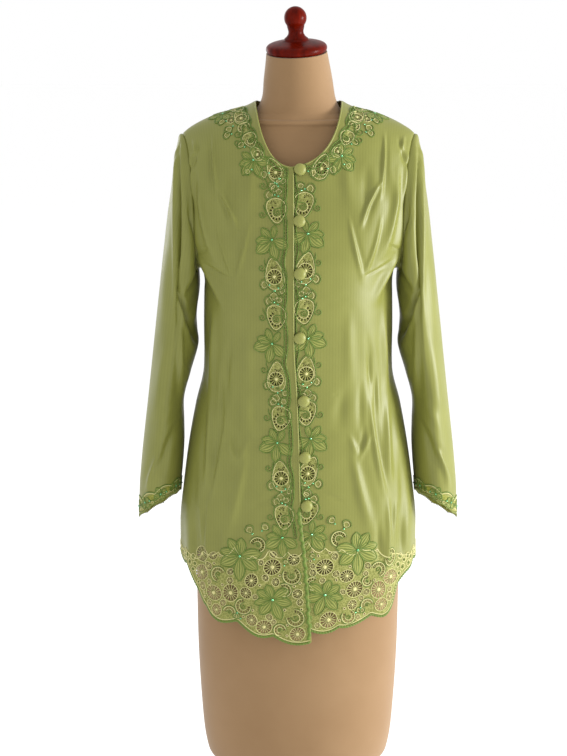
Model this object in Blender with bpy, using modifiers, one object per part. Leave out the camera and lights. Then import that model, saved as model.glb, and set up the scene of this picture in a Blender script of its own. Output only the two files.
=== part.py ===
"""A kebaya blouse worn by a limbless dress form on a round stand.

Lengths here are millimetres and the scene is in metres. +Z is up, the origin is on the floor under the pole, the
blouse opens towards -Y and the wearer's left is at +X. Each piece of cloth is an open surface, worked out from a
table of sections, that a Solidify modifier gives its wall.
"""

import math

import bmesh
import bpy
import numpy as np
from mathutils import Matrix, Vector

MM = 0.001

# Cloth
CLOTH = 1.5  # wall of a panel
SEAM = 0.3  # gap between pieces that are sewn together
ON_PANEL = 0.5  # gap under a piece that lies on a panel
TURN_GAP = 0.75  # half of the gap between front and back, whose walls turn in towards each other
EMBROIDERY = 1.0  # wall of an embroidered border
OVERLAP_LIFT = 3.8  # how far the right front stands over the left one at the opening
LIFT_REACH = 45.0  # that lift fades out over this width
UNDERLAP = 15.0  # how far the left front reaches under the right one
STRIP = 12.0  # plain strip along the right front's edge
BORDER = 34.0  # embroidered border beside the opening
NECK_PLAIN = 20.0  # plain cloth between the neck edge and the border, at the shoulder
SHOULDER_BORDER = 30.0  # width of the border at the shoulder seam

# Landmarks of the blouse
NECK_POINT_X, NECK_POINT_Z = 64.0, 1380.0
SHOULDER_TIP_X = 174.6
ARMHOLE_TOP, ARMHOLE_BOTTOM = 1331.0, 1130.0
NECK_FRONT_Z = 1287.0
NECK_PULL_X, NECK_PULL_Z = 50.0, 1286.0  # middle control point of the front neck curve
NECK_BACK_Z = 1364.0
RIDGE_MIDDLE_Z = 1402.0  # the shoulder ridge carried on to the middle, under the neck opening
FRONT_ROUND, BACK_ROUND = 90.0, 60.0  # height over which front and back curve over the shoulder
SECTION_POWER = 2.4  # 2 is an ellipse, more is squarer
SLEEVE_GAP = 2.1  # the sleeve starts this far outside the armhole edge

BODY_COLUMNS = ("z", "half_width", "front_depth", "back_depth")
BODY_SECTIONS = (
    (1402, 182, 70, 84),
    (1330, 180, 82, 94),
    (1290, 178, 90, 99),
    (1230, 175, 109, 104),
    (1180, 170, 123, 106),
    (1150, 157, 128, 105),
    (1130, 147, 130, 105),
    (1105, 143, 131, 103),
    (1050, 144, 128, 99),
    (977, 145.5, 121, 96),
    (920, 158, 120, 101),
    (858, 169.5, 122, 109),
    (793, 178, 125, 116),
    (736, 184.5, 128, 121),
    (650, 185, 131, 124),
    (550, 184, 133, 126),
)

SHOULDER_COLUMNS = ("x", "z", "y")
SHOULDER_LINE = (
    (0, RIDGE_MIDDLE_Z, 8),
    (NECK_POINT_X, NECK_POINT_Z, 8),
    (78, 1373, 7),
    (100, 1367, 5),
    (120, 1361, 4),
    (140, 1353, 2.5),
    (165, 1339, 0.5),
    (SHOULDER_TIP_X, ARMHOLE_TOP, 0),
)

OPENING_COLUMNS = ("z", "x")
OPENING_LINE = ((1300, -8), (1040, -7), (945, -2), (860, 1), (785, 3), (700, 12), (560, 21))

ARMHOLE_COLUMNS = ("turn", "front_angle", "back_angle")
ARMHOLE = (
    (0, 76, 76),
    (30, 69, 71),
    (64, 64.5, 67.5),
    (93, 63.5, 66.5),
    (131, 68, 70),
    (160, 79, 80),
    (180, 90, 90),
)

HEM_COLUMNS = ("angle", "left_z", "right_z", "lace_height")
HEM = (
    (-8, 604, 576, 150),
    (0, 602, 580, 148),
    (16, 597, 588, 132),
    (30, 611, 606, 116),
    (44, 616, 614, 104),
    (49, 626, 625, 88),
    (55, 656, 655, 50),
    (64, 680, 680, 24),
    (90, 690, 690, 10),
)
SCALLOP_ANGLE, SCALLOP_DEPTH = 18.0, 6.0
BACK_HEM_Z, BACK_HEM_DROP = 684.0, 16.0

FOLD_COLUMNS = ("angle_top", "angle_bottom", "z_top", "z_bottom", "half_angle", "height")
LEFT_FOLDS = ((40, 47, 1110, 560, 7, 3.2), (61, 66, 1060, 560, 8, 4.6), (25, 33, 900, 620, 6, -1.8))
RIGHT_FOLDS = ((36, 42, 1090, 560, 8, 3.6), (57, 64, 1100, 560, 7, 4.2), (74, 76, 980, 640, 6, -2.2))
BACK_FOLDS = ((-52, -58, 1050, 560, 9, 4.5), (-14, -20, 1120, 560, 8, 3.5), (24, 20, 1080, 560, 8, 3.8),
              (56, 62, 1030, 560, 8, 4.2))

SLEEVE_COLUMNS = ("outer_x", "outer_z", "inner_x", "inner_z", "half_depth", "centre_y", "roundness", "front_rise")
SLEEVE_SECTIONS = (
    (180.5, 1314, 151.0, 1122, 61, 0, 1.9, 0),
    (187.0, 1286, 150.5, 1113, 66, 0, 1.8, 0),
    (191.5, 1252, 150.5, 1102, 70, 0, 1.7, 0),
    (197.0, 1216, 152.0, 1088, 73, 0, 1.6, 0),
    (202.5, 1172, 154.5, 1072, 74, -1, 1.6, 0),
    (208.5, 1122, 156.0, 1054, 74, -2, 1.6, 0),
    (215.0, 1068, 155.0, 1034, 72, -3, 1.6, 0),
    (221.5, 1013, 153.5, 1012, 69, -5, 1.7, 0),
    (227.0, 968, 165.0, 970, 66, -6, 1.8, 0),
    (232.5, 922, 176.0, 926, 63, -8, 1.9, 0),
    (237.0, 886, 176.0, 892, 60, -9, 2.0, 0),
    (241.0, 852, 176.0, 863, 57, -10, 2.0, 2),
    (244.0, 822, 177.5, 838, 54, -11, 2.0, 5),
    (246.5, 793, 179.5, 816, 52, -12, 2.0, 8),
    (247.5, 764, 181.5, 798, 50, -12, 2.0, 11),
    (248.0, 738, 182.5, 782, 49, -12, 2.0, 14),
)
CUFF_RINGS = 3  # the cuff border covers the sleeve's last rings
CUFF_SCALLOPS, CUFF_SCALLOP_DEPTH = 8, 2.5

# Grids of the panels
UNDER_COLUMNS, BORDER_COLUMNS, WIDE_COLUMNS = 1, 3, 12
YOKE_ROWS, SKIRT_ROWS, LACE_ROWS = 9, 10, 4
BACK_COLUMNS, BACK_YOKE_ROWS, BACK_SKIRT_ROWS = 16, 8, 10
SLEEVE_POINTS = 16

# Buttons and loops, from the neck down
BUTTON_HEIGHTS = (1283, 1211, 1137, 1042, 948, 862, 788)
BUTTON_RADIUS, BUTTON_HALF_HEIGHT = 8.5, 3.5
LOOP_WIRE, LOOP_RADIUS, LOOP_POINTS = 1.1, 8.0, 8

# Dress form and stand
FORM_COLUMNS = ("z", "half_width", "front_depth", "back_depth", "centre_x", "centre_y")
FORM_SECTIONS = (
    (330, 112, 76, 78, 0, 0),
    (336, 132, 90, 93, 0, 0),
    (352, 144, 98, 102, 0, 0),
    (420, 153, 105, 109, 0, 0),
    (560, 159, 110, 114, 0, 0),
    (720, 160, 110, 112, 0, 0),
    (790, 152, 106, 105, 0, 0),
    (860, 137, 101, 94, 0, 0),
    (920, 124, 98, 86, 0, 0),
    (980, 117, 97, 82, 0, 0),
    (1040, 121, 106, 86, 0, 0),
    (1110, 130, 120, 92, 0, 0),
    (1160, 135, 117, 95, 0, 0),
    (1215, 145, 100, 95, 0, 0),
    (1265, 154, 83, 92, 0, 0),
    (1300, 157, 71, 84, 0, 0),
    (1322, 148, 60, 74, 0, 0),
    (1338, 126, 53, 65, 0, 1),
    (1350, 100, 51, 58, 0, 2),
    (1361, 71, 50, 54, 0, 2),
    (1372, 60, 51, 52, 0, 1),
    (1388, 54, 50, 51, 0, -1),
    (1412, 51, 49, 50, -1, -5),
    (1434, 47.5, 47, 47, -2, -9),
    (1450, 45, 45, 45, -3, -12),
)
FORM_POINTS, FORM_POWER = 28, 2.15
NECK_FROM_Z = 1361.0  # the form is round above this height
CAP_TILT, CAP_LEAN = 10.7, 2.5  # degrees that the neck's top slopes to the front and to the wearer's right
CAP_PROFILE = (
    (0, 0), (42, 0), (44.4, 2.2), (45.4, 5.5), (44.8, 9), (42, 12), (36, 14.3), (25, 16.5), (18.5, 18),
    (17.6, 20.5), (14.2, 23), (11.6, 27), (11.0, 31), (12.2, 35.5),
)
KNOB_CENTRE, KNOB_RADIUS, KNOB_STEPS = 50.5, 16.6, 7
TURNING_STEPS = 26
POLE_RADIUS = 16.0
BASE_RADIUS, BASE_HEIGHT, HUB_RADIUS, HUB_HEIGHT = 200.0, 18.0, 38.0, 46.0

FINE_STEPS = 200  # points of an edge line before the columns are picked from it
FRONT_CORNER_Z = 600.0  # height where a front's hem begins at the opening
EDGE_PULL = 0.055  # share of a column or row that a border or the strip ends short of its neighbour
LOOP_TURN = 118.0  # degrees each way that a button's loop runs round

# Materials: colour, roughness, metallic
SATIN = ((0.36, 0.40, 0.10, 1), 0.42, 0.0)
EMBROIDERED = ((0.24, 0.33, 0.08, 1), 0.55, 0.0)
COVERED_BUTTON = ((0.40, 0.42, 0.14, 1), 0.45, 0.0)
FORM_COVER = ((0.56, 0.44, 0.31, 1), 0.6, 0.0)
STAINED_WOOD = ((0.22, 0.035, 0.012, 1), 0.3, 0.0)
POLE_METAL = ((0.55, 0.55, 0.56, 1), 0.35, 1.0)


def column(table, columns, name):
    """One named column of a table, as an array."""
    return np.array([row[columns.index(name)] for row in table], float)


def smooth(at, known, values):
    """Monotone cubic interpolation (Fritsch and Carlson), flat past both ends of the table."""
    order = np.argsort(known)
    known, values = np.asarray(known, float)[order], np.asarray(values, float)[order]
    at = np.clip(at, known[0], known[-1])
    step = np.diff(known)
    rise = np.diff(values) / step
    slope = np.concatenate([[rise[0]], np.zeros(len(rise) - 1), [rise[-1]]])
    turning = rise[:-1] * rise[1:] <= 0
    before, after = step[:-1] + 2 * step[1:], 2 * step[:-1] + step[1:]
    with np.errstate(divide="ignore", invalid="ignore"):
        mean = (before + after) / (before / rise[:-1] + after / rise[1:])
    slope[1:-1] = np.where(turning, 0, mean)
    i = np.clip(np.searchsorted(known, at) - 1, 0, len(step) - 1)
    t = (at - known[i]) / step[i]
    return (
        values[i] * (1 + 2 * t) * (1 - t) ** 2
        + slope[i] * step[i] * t * (1 - t) ** 2
        + values[i + 1] * t * t * (3 - 2 * t)
        - slope[i + 1] * step[i] * t * t * (1 - t)
    )


def body(z, name):
    return smooth(z, column(BODY_SECTIONS, BODY_COLUMNS, "z"), column(BODY_SECTIONS, BODY_COLUMNS, name))


def shoulder(x, name):
    return smooth(x, column(SHOULDER_LINE, SHOULDER_COLUMNS, "x"), column(SHOULDER_LINE, SHOULDER_COLUMNS, name))


def opening_x(z):
    return smooth(z, column(OPENING_LINE, OPENING_COLUMNS, "z"), column(OPENING_LINE, OPENING_COLUMNS, "x"))


def hem(angle, name):
    return smooth(angle, column(HEM, HEM_COLUMNS, "angle"), column(HEM, HEM_COLUMNS, name))


def angle_of(x, z):
    """The angle round the body, in degrees from its middle, of a point x from the middle at height z."""
    return np.degrees(np.arcsin(np.clip(x / body(z, "half_width"), -1, 1)))


def body_surface(angle, z, facing):
    """Points of the blouse's outer surface. facing is -1 for the front and 1 for the back."""
    sine = np.sin(np.radians(angle))
    depth = body(z, "front_depth" if facing < 0 else "back_depth")
    x = body(z, "half_width") * sine
    y = facing * depth * (1 - np.abs(sine) ** SECTION_POWER) ** (1 / SECTION_POWER)
    ridge_z, ridge_y = shoulder(np.abs(x), "z"), shoulder(np.abs(x), "y")
    below = np.clip((ridge_z - z) / (FRONT_ROUND if facing < 0 else BACK_ROUND), 0, 1)
    y = ridge_y + (y - ridge_y) * np.sqrt(1 - (1 - below) ** 2)
    return np.stack([x, y + facing * TURN_GAP, z], axis=-1)


def coons(top, bottom, first, last):
    """The grid that fills four edges: top and bottom have a point a column, first and last a point a row."""
    s = np.linspace(0, 1, len(top))[None, :, None]
    t = np.linspace(0, 1, len(first))[:, None, None]
    corners = (
        (1 - s) * (1 - t) * top[0] + s * (1 - t) * top[-1] + (1 - s) * t * bottom[0] + s * t * bottom[-1]
    )
    return (1 - t) * top[None] + t * bottom[None] + (1 - s) * first[:, None] + s * last[:, None] - corners


def armhole_edge(rows, facing):
    """(angle, z) down one side of the armhole, from the shoulder tip to the underarm."""
    turn = np.linspace(0, 180, rows)
    name = "front_angle" if facing < 0 else "back_angle"
    angle = smooth(turn, column(ARMHOLE, ARMHOLE_COLUMNS, "turn"), column(ARMHOLE, ARMHOLE_COLUMNS, name))
    middle, half = (ARMHOLE_TOP + ARMHOLE_BOTTOM) / 2, (ARMHOLE_TOP - ARMHOLE_BOTTOM) / 2
    return np.stack([angle, middle + half * np.cos(np.radians(turn))], axis=-1)


def grid_normals(points):
    """A unit normal at each point of a grid, by the cross product of its two directions."""
    across = np.gradient(points, axis=1)
    down = np.gradient(points, axis=0)
    normal = np.cross(down, across)
    return normal / np.linalg.norm(normal, axis=-1, keepdims=True)


def push_folds(points, angle, folds):
    """Moves a grid out along its normals by rounded ridges, which run down it and deepen on the way."""
    z = points[..., 2]
    push = np.zeros_like(z)
    for row in folds:
        fold = dict(zip(FOLD_COLUMNS, row))
        share = np.clip((fold["z_top"] - z) / (fold["z_top"] - fold["z_bottom"]), 0, 1)
        middle = fold["angle_top"] + (fold["angle_bottom"] - fold["angle_top"]) * share
        push += fold["height"] * share * np.exp(-(((angle - middle) / fold["half_angle"]) ** 2))
    normal = grid_normals(points)
    outwards = np.sign((normal[..., :2] * points[..., :2]).sum(-1, keepdims=True))
    return points + normal * outwards * push[..., None]


def neck_edge(edge_x, rows):
    """(angle, z) along the front neck curve, from the neck point to the opening."""
    t = np.linspace(0, 1, rows) ** 1.5
    x = (1 - t) ** 2 * NECK_POINT_X + 2 * t * (1 - t) * NECK_PULL_X + t * t * edge_x
    z = (1 - t) ** 2 * NECK_POINT_Z + 2 * t * (1 - t) * NECK_PULL_Z + t * t * NECK_FRONT_Z
    return np.stack([angle_of(x, z), z], axis=-1)


def column_shares(widths):
    """Shares of a row's width at which its columns lie: the strip by the edge, the border, the rest."""
    plain, border, whole = widths
    return np.concatenate([
        np.linspace(0, plain / whole, UNDER_COLUMNS + 1)[:-1],
        np.linspace(plain / whole, (plain + border) / whole, BORDER_COLUMNS + 1)[:-1],
        np.linspace((plain + border) / whole, 1, WIDE_COLUMNS + 1),
    ])


def front_grid(left):
    """(points, angles) of a front, rows from the shoulder down and columns from the opening to the side.

    It is worked out as a left front, in the plane of angle and height. The right one is mirrored at the end.
    """
    mirror = 1 if left else -1

    def edge_x(z):
        return opening_x(z) - UNDERLAP if left else -opening_x(z)

    neck_rows = YOKE_ROWS // 2 + 1
    down_rows = YOKE_ROWS - neck_rows + 2
    neck = neck_edge(float(edge_x(NECK_FRONT_Z)), neck_rows)
    drop = np.linspace(NECK_FRONT_Z, ARMHOLE_BOTTOM, down_rows)[1:]
    first = np.concatenate([neck, np.stack([angle_of(edge_x(drop), drop), drop], axis=-1)])
    fine = np.linspace(0, 1, FINE_STEPS)
    top_x = NECK_POINT_X + (SHOULDER_TIP_X - NECK_POINT_X) * fine
    top = np.stack([angle_of(top_x, shoulder(top_x, "z")), shoulder(top_x, "z")], axis=-1)
    last = armhole_edge(len(first), -1)
    level = np.stack([first[-1, 0] + (90 - first[-1, 0]) * fine, np.full(FINE_STEPS, ARMHOLE_BOTTOM)], axis=-1)
    yoke = coons(top, level, first, last)
    corner = angle_of(edge_x(FRONT_CORNER_Z), FRONT_CORNER_Z)
    hem_angle = corner + (90 - corner) * fine
    scallop = SCALLOP_DEPTH * np.abs(np.sin(np.pi * (hem_angle - hem_angle[0]) / SCALLOP_ANGLE))
    hem_z = hem(hem_angle, "left_z" if left else "right_z") - scallop
    lace_z = hem_z + hem(hem_angle, "lace_height")
    rows = []
    for share in np.linspace(0, 1, SKIRT_ROWS + 1)[1:]:
        rows.append(ARMHOLE_BOTTOM + (lace_z - ARMHOLE_BOTTOM) * share)
    for share in np.linspace(0, 1, LACE_ROWS + 1)[1:]:
        rows.append(lace_z + (hem_z - lace_z) * share)
    skirt = []
    for z in rows:
        start = angle_of(edge_x(z), z)
        skirt.append(np.stack([start + (90 - start) * fine, z], axis=-1))
    sheet = np.concatenate([yoke, np.array(skirt)])
    surface = body_surface(sheet[..., 0], sheet[..., 1], -1)
    picked, angles = [], []
    yoke_share = np.clip(np.arange(len(sheet)) / (neck_rows - 1), 0, 1)
    for row, (points, share) in enumerate(zip(surface, yoke_share)):
        along = np.concatenate([[0], np.cumsum(np.linalg.norm(np.diff(points, axis=0), axis=1))])
        edge_plain = UNDERLAP + 2 * ON_PANEL if left else STRIP
        plain = NECK_PLAIN + (edge_plain - NECK_PLAIN) * share
        border = SHOULDER_BORDER + (BORDER - SHOULDER_BORDER) * share
        at = column_shares((plain, border, along[-1])) * along[-1]
        picked.append(np.stack([np.interp(at, along, points[:, k]) for k in range(3)], axis=-1))
        angles.append(np.interp(at, along, sheet[row, :, 0]))
    points, angles = np.array(picked), np.array(angles)
    points = push_folds(points, angles, LEFT_FOLDS if left else RIGHT_FOLDS)
    if not left:
        from_edge = np.linalg.norm(np.diff(points, axis=1), axis=-1).cumsum(axis=1)
        from_edge = np.concatenate([np.zeros((len(points), 1)), from_edge], axis=1)
        fade = np.clip(1 - from_edge / LIFT_REACH, 0, 1)
        fade = fade * fade * (3 - 2 * fade) * yoke_share[:, None]
        points = points + grid_normals(points) * OVERLAP_LIFT * fade[..., None]
    points[..., 0] *= mirror
    return points


def back_grid():
    """Points of the back, rows from the neck and shoulders down and columns from right to left."""
    fine = np.linspace(-1, 1, BACK_COLUMNS + 1)
    top_x = fine * SHOULDER_TIP_X
    neck_share = np.clip(np.abs(top_x) / NECK_POINT_X, 0, 1)
    neck_z = NECK_BACK_Z + (NECK_POINT_Z - NECK_BACK_Z) * neck_share**2
    top_z = np.where(neck_share < 1, neck_z, shoulder(np.abs(top_x), "z"))
    top = np.stack([angle_of(top_x, top_z), top_z], axis=-1)
    last = armhole_edge(BACK_YOKE_ROWS + 1, 1)
    first = last * (-1, 1)
    level = np.stack([fine * 90, np.full(len(fine), ARMHOLE_BOTTOM)], axis=-1)
    yoke = coons(top, level, first, last)
    bottom = BACK_HEM_Z - BACK_HEM_DROP * (1 - np.abs(fine) ** 2)
    share = np.linspace(0, 1, BACK_SKIRT_ROWS + 1)[1:, None]
    skirt = np.stack(
        [np.broadcast_to(fine * 90, (BACK_SKIRT_ROWS, len(fine))),
         ARMHOLE_BOTTOM + (bottom - ARMHOLE_BOTTOM) * share], axis=-1)
    sheet = np.concatenate([yoke, skirt])
    return push_folds(body_surface(sheet[..., 0], sheet[..., 1], 1), sheet[..., 0], BACK_FOLDS)


def sleeve_rings(side):
    """Rings of a sleeve, from the armhole to the cuff. Each starts at its outer side and runs round by the front."""
    turn = np.linspace(0, 2 * math.pi, SLEEVE_POINTS, endpoint=False)
    half = SLEEVE_POINTS // 2 + 1
    front, back = armhole_edge(half, -1), armhole_edge(half, 1)
    down = body_surface(front[:, 0], front[:, 1], -1)
    up = body_surface(back[:, 0], back[:, 1], 1)[::-1][1:-1]
    loop = np.concatenate([down, up])
    loop[[0, half - 1], 1] = 0
    rings = [loop + (SLEEVE_GAP, 0, -SEAM)]
    for row in SLEEVE_SECTIONS:
        section = dict(zip(SLEEVE_COLUMNS, row))
        outer = np.array([section["outer_x"], section["centre_y"], section["outer_z"]])
        inner = np.array([section["inner_x"], section["centre_y"], section["inner_z"]])
        power = 2 / section["roundness"]
        across = np.sign(np.cos(turn)) * np.abs(np.cos(turn)) ** power
        ring = (outer + inner) / 2 + across[:, None] * (outer - inner) / 2
        ring[:, 1] -= section["half_depth"] * np.sin(turn)
        ring[:, 2] += section["front_rise"] * np.sin(turn)
        rings.append(ring)
    rings[-1][:, 2] += CUFF_SCALLOP_DEPTH * np.abs(np.sin(turn * CUFF_SCALLOPS / 2))
    return np.array(rings) * (side, 1, 1)


def material(name, finish):
    colour, roughness, metallic = finish
    made = bpy.data.materials.get(name) or bpy.data.materials.new(name)
    made.use_nodes = True
    shader = made.node_tree.nodes["Principled BSDF"]
    shader.inputs["Base Color"].default_value = colour
    shader.inputs["Roughness"].default_value = roughness
    shader.inputs["Metallic"].default_value = metallic
    made.diffuse_color = colour
    return made


def add_object(name, mesh, finish):
    mesh.materials.append(finish)
    made = bpy.data.objects.new(name, mesh)
    COLLECTION.objects.link(made)
    return made


def grid_mesh(name, points, closed=False):
    """A mesh of quads over a grid of points in mm, its faces turned away from the pole's axis or the ring's centre."""
    rows, columns = points.shape[:2]
    number = np.arange(rows * columns).reshape(rows, columns)
    if closed:
        number = np.concatenate([number, number[:, :1]], axis=1)
    quads = np.stack([number[:-1, :-1], number[1:, :-1], number[1:, 1:], number[:-1, 1:]], axis=-1).reshape(-1, 4)
    flat = points.reshape(-1, 3)
    corners = flat[quads]
    normal = np.cross(corners[:, 1] - corners[:, 0], corners[:, 3] - corners[:, 0])
    middle = corners.mean(axis=1)
    centre = np.repeat(points.mean(axis=1), quads.shape[0] // (rows - 1), axis=0)[: len(quads)] if closed else 0
    outwards = ((middle - centre) * normal)[:, :2].sum() if closed else (middle * normal)[:, :2].sum()
    if outwards < 0:
        quads = quads[:, ::-1]
    mesh = bpy.data.meshes.new(name)
    mesh.from_pydata((flat * MM).tolist(), [], quads.tolist())
    mesh.validate()
    mesh.shade_smooth()
    return mesh


def cloth(name, points, finish, thickness=CLOTH, offset=-1, closed=False):
    """A piece of cloth: the grid as an open surface, with its wall inside it (offset -1) or outside (offset 1)."""
    made = add_object(name, grid_mesh(name, points, closed), finish)
    wall = made.modifiers.new("Wall", "SOLIDIFY")
    wall.thickness = thickness * MM
    wall.offset = offset
    return made


def moved_out(points, distance, centre=(0, 0)):
    """A grid moved out along its normals, for what lies on a panel."""
    normal = grid_normals(points)
    outwards = np.sign((normal[..., :2] * (points[..., :2] - centre)).sum(axis=(0, 1, 2)))
    return points + normal * outwards * distance


def make_fronts(satin, embroidered):
    """Both fronts, the right one's plain strip, and the borders down each opening edge and over each hem."""
    grids = {}
    for side, left in (("left", True), ("right", False)):
        points = front_grid(left)
        grids[side] = points
        cloth(f"front_{side}", points, satin)
        first, last = UNDER_COLUMNS, UNDER_COLUMNS + BORDER_COLUMNS
        on_top = moved_out(points, ON_PANEL)
        cloth(f"opening_border_{side}", on_top[:, first:last + 1], embroidered, EMBROIDERY, 1)
        aside = on_top[-LACE_ROWS - 1:, last:].copy()
        aside[:, 0] += (aside[:, 1] - aside[:, 0]) * EDGE_PULL
        cloth(f"hem_border_{side}", aside, embroidered, EMBROIDERY, 1)
    top = YOKE_ROWS // 2
    strip = moved_out(grids["right"], ON_PANEL)[top:-LACE_ROWS, : UNDER_COLUMNS + 1].copy()
    strip[:, 1] += (strip[:, 0] - strip[:, 1]) * EDGE_PULL
    cloth("opening_strip", strip, satin, EMBROIDERY, 1)


def make_sleeves(satin, embroidered):
    for name, side in (("left", 1), ("right", -1)):
        rings = sleeve_rings(side)
        cloth(f"sleeve_{name}", rings, satin, closed=True)
        end = rings[-CUFF_RINGS:]
        middle = end.mean(axis=1, keepdims=True)
        away = (end - middle) * (1, 1, 0)
        away /= np.linalg.norm(away, axis=-1, keepdims=True)
        cloth(f"cuff_border_{name}", end + away * 2 * SEAM, embroidered, EMBROIDERY, 1, closed=True)


def opening_frame(z):
    """(point, outward normal) on the left front beside the opening, where a button sits."""
    x = float(opening_x(z)) + BUTTON_RADIUS
    corners = [body_surface(angle_of(x + dx, z + dz), np.array(z + dz), -1) for dx, dz in ((0, 0), (1, 0), (0, 1))]
    normal = np.cross(corners[1] - corners[0], corners[2] - corners[0])
    return Vector(corners[0]), Vector(normal).normalized()


def make_buttons(covered):
    """Cloth-covered domes on the left front, each held by a loop from the right front's edge."""
    on_border = ON_PANEL + EMBROIDERY + SEAM
    for number, z in enumerate(BUTTON_HEIGHTS, 1):
        spot, normal = opening_frame(float(z))
        turned = normal.to_track_quat("Z", "Y")
        dome = bmesh.new()
        bmesh.ops.create_uvsphere(dome, u_segments=10, v_segments=6, radius=BUTTON_RADIUS * MM)
        bmesh.ops.scale(dome, vec=(1, 1, BUTTON_HALF_HEIGHT / BUTTON_RADIUS), verts=dome.verts)
        mesh = bpy.data.meshes.new(f"button_{number}")
        dome.to_mesh(mesh)
        dome.free()
        mesh.shade_smooth()
        button = add_object(f"button_{number}", mesh, covered)
        button.location = (spot + normal * (on_border + BUTTON_HALF_HEIGHT + 0.8)) * MM
        button.rotation_mode = "QUATERNION"
        button.rotation_quaternion = turned
        curve = bpy.data.curves.new(f"loop_{number}", "CURVE")
        curve.dimensions = "3D"
        curve.bevel_depth = LOOP_WIRE * MM
        curve.bevel_resolution = 1
        curve.use_fill_caps = True
        spline = curve.splines.new("POLY")
        spline.points.add(LOOP_POINTS - 1)
        turns = np.linspace(math.radians(LOOP_TURN), math.radians(-LOOP_TURN), LOOP_POINTS)
        for point, turn in zip(spline.points, turns):
            flat = Vector((LOOP_RADIUS * math.cos(turn), LOOP_RADIUS * math.sin(turn), 0))
            point.co = (*(flat * MM), 1)
        loop = add_object(f"loop_{number}", curve, covered)
        loop.location = (spot + normal * (on_border + SEAM + LOOP_WIRE)) * MM
        upright = Vector((0, 0, 1))
        across = upright.cross(normal).normalized()
        loop.rotation_mode = "QUATERNION"
        loop.rotation_quaternion = rotation_of(across, normal.cross(across), normal)


def rotation_of(x_axis, y_axis, z_axis):
    """The rotation whose columns are these three axes."""
    return Matrix((x_axis, y_axis, z_axis)).transposed().to_quaternion()


def superellipse(section, points, power):
    """One ring of the dress form."""
    turn = np.linspace(0, 2 * math.pi, points, endpoint=False)
    cosine, sine = np.cos(turn), np.sin(turn)
    depth = np.where(sine < 0, section["front_depth"], section["back_depth"])
    x = section["half_width"] * np.sign(cosine) * np.abs(cosine) ** (2 / power)
    y = depth * np.sign(sine) * np.abs(sine) ** (2 / power)
    return np.stack([x + section["centre_x"], y + section["centre_y"], np.full(points, section["z"])], axis=-1)


def neck_top_tilt(points, centre):
    """Tilts points about the neck's top centre, forwards and to the wearer's right."""
    forward, aside = math.radians(CAP_TILT), math.radians(CAP_LEAN)
    local = points - centre
    y = local[..., 1] * math.cos(forward) - local[..., 2] * math.sin(forward)
    z = local[..., 1] * math.sin(forward) + local[..., 2] * math.cos(forward)
    x = local[..., 0] * math.cos(aside) - z * math.sin(aside)
    z = local[..., 0] * math.sin(aside) + z * math.cos(aside)
    return np.stack([x, y, z], axis=-1) + centre


def make_form(cover):
    """The dress form: a loft of rings from its flat underside to the sloping top of its neck."""
    sections = [dict(zip(FORM_COLUMNS, row)) for row in FORM_SECTIONS]
    top = sections[-1]
    centre = np.array([top["centre_x"], top["centre_y"], top["z"]], float)
    rings = []
    for section in sections:
        ring = superellipse(section, FORM_POINTS, FORM_POWER if section["z"] < NECK_FROM_Z else 2.0)
        share = np.clip((section["z"] - NECK_FROM_Z) / (top["z"] - NECK_FROM_Z), 0, 1) ** 1.5
        middle = np.array([section["centre_x"], section["centre_y"], section["z"]], float)
        rings.append(ring + (neck_top_tilt(ring, middle) - ring) * share)
    mesh = grid_mesh("form_body", np.array(rings), closed=True)
    body_mesh = bmesh.new()
    body_mesh.from_mesh(mesh)
    bmesh.ops.holes_fill(body_mesh, edges=[e for e in body_mesh.edges if e.is_boundary], sides=0)
    bmesh.ops.recalc_face_normals(body_mesh, faces=body_mesh.faces)
    body_mesh.to_mesh(mesh)
    body_mesh.free()
    add_object("form_body", mesh, cover)
    return centre


def turned(name, profile, finish, steps=TURNING_STEPS):
    """A turned solid: a profile of (radius, height) from the axis out and back, with a Screw modifier."""
    mesh = bpy.data.meshes.new(name)
    corners = [(radius * MM, 0, height * MM) for radius, height in reversed(profile)]
    mesh.from_pydata(corners, [(i, i + 1) for i in range(len(corners) - 1)], [])
    made = add_object(name, mesh, finish)
    screw = made.modifiers.new("Turning", "SCREW")
    screw.steps = screw.render_steps = steps
    screw.use_merge_vertices = True
    screw.merge_threshold = 0.0001
    screw.use_smooth_shade = True
    return made


def make_cap(neck_top, wood):
    """The turned wooden cap and knob on the sloping top of the neck."""
    turn = np.linspace(math.radians(-42), math.radians(90), KNOB_STEPS)
    knob = [(KNOB_RADIUS * math.cos(t), KNOB_CENTRE + KNOB_RADIUS * math.sin(t)) for t in turn[:-1]]
    cap = turned("form_cap", list(CAP_PROFILE) + knob + [(0, KNOB_CENTRE + KNOB_RADIUS)], wood)
    forward, aside = math.radians(CAP_TILT), math.radians(CAP_LEAN)
    normal = Vector((-math.sin(aside), -math.sin(forward), math.cos(forward))).normalized()
    cap.location = (Vector(neck_top) + normal * SEAM) * MM
    cap.rotation_euler = (forward, -aside, 0)


def make_stand(wood, metal):
    """A plain pole into the form's underside, and a round base that stands on the floor."""
    edge = 4.0
    turned("stand_base", [
        (0, 0), (BASE_RADIUS - edge, 0), (BASE_RADIUS, edge), (BASE_RADIUS, BASE_HEIGHT - edge),
        (BASE_RADIUS - edge, BASE_HEIGHT), (HUB_RADIUS, BASE_HEIGHT), (HUB_RADIUS - edge, HUB_HEIGHT), (0, HUB_HEIGHT),
    ], wood, steps=40)
    low, high = HUB_HEIGHT + SEAM, FORM_SECTIONS[0][0] - SEAM
    turned("stand_pole", [(0, low), (POLE_RADIUS, low), (POLE_RADIUS, high), (0, high)], metal, steps=24)


for old in list(bpy.data.objects):
    bpy.data.objects.remove(old)
COLLECTION = bpy.data.collections.new("kebaya_blouse")
bpy.context.scene.collection.children.link(COLLECTION)

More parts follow.
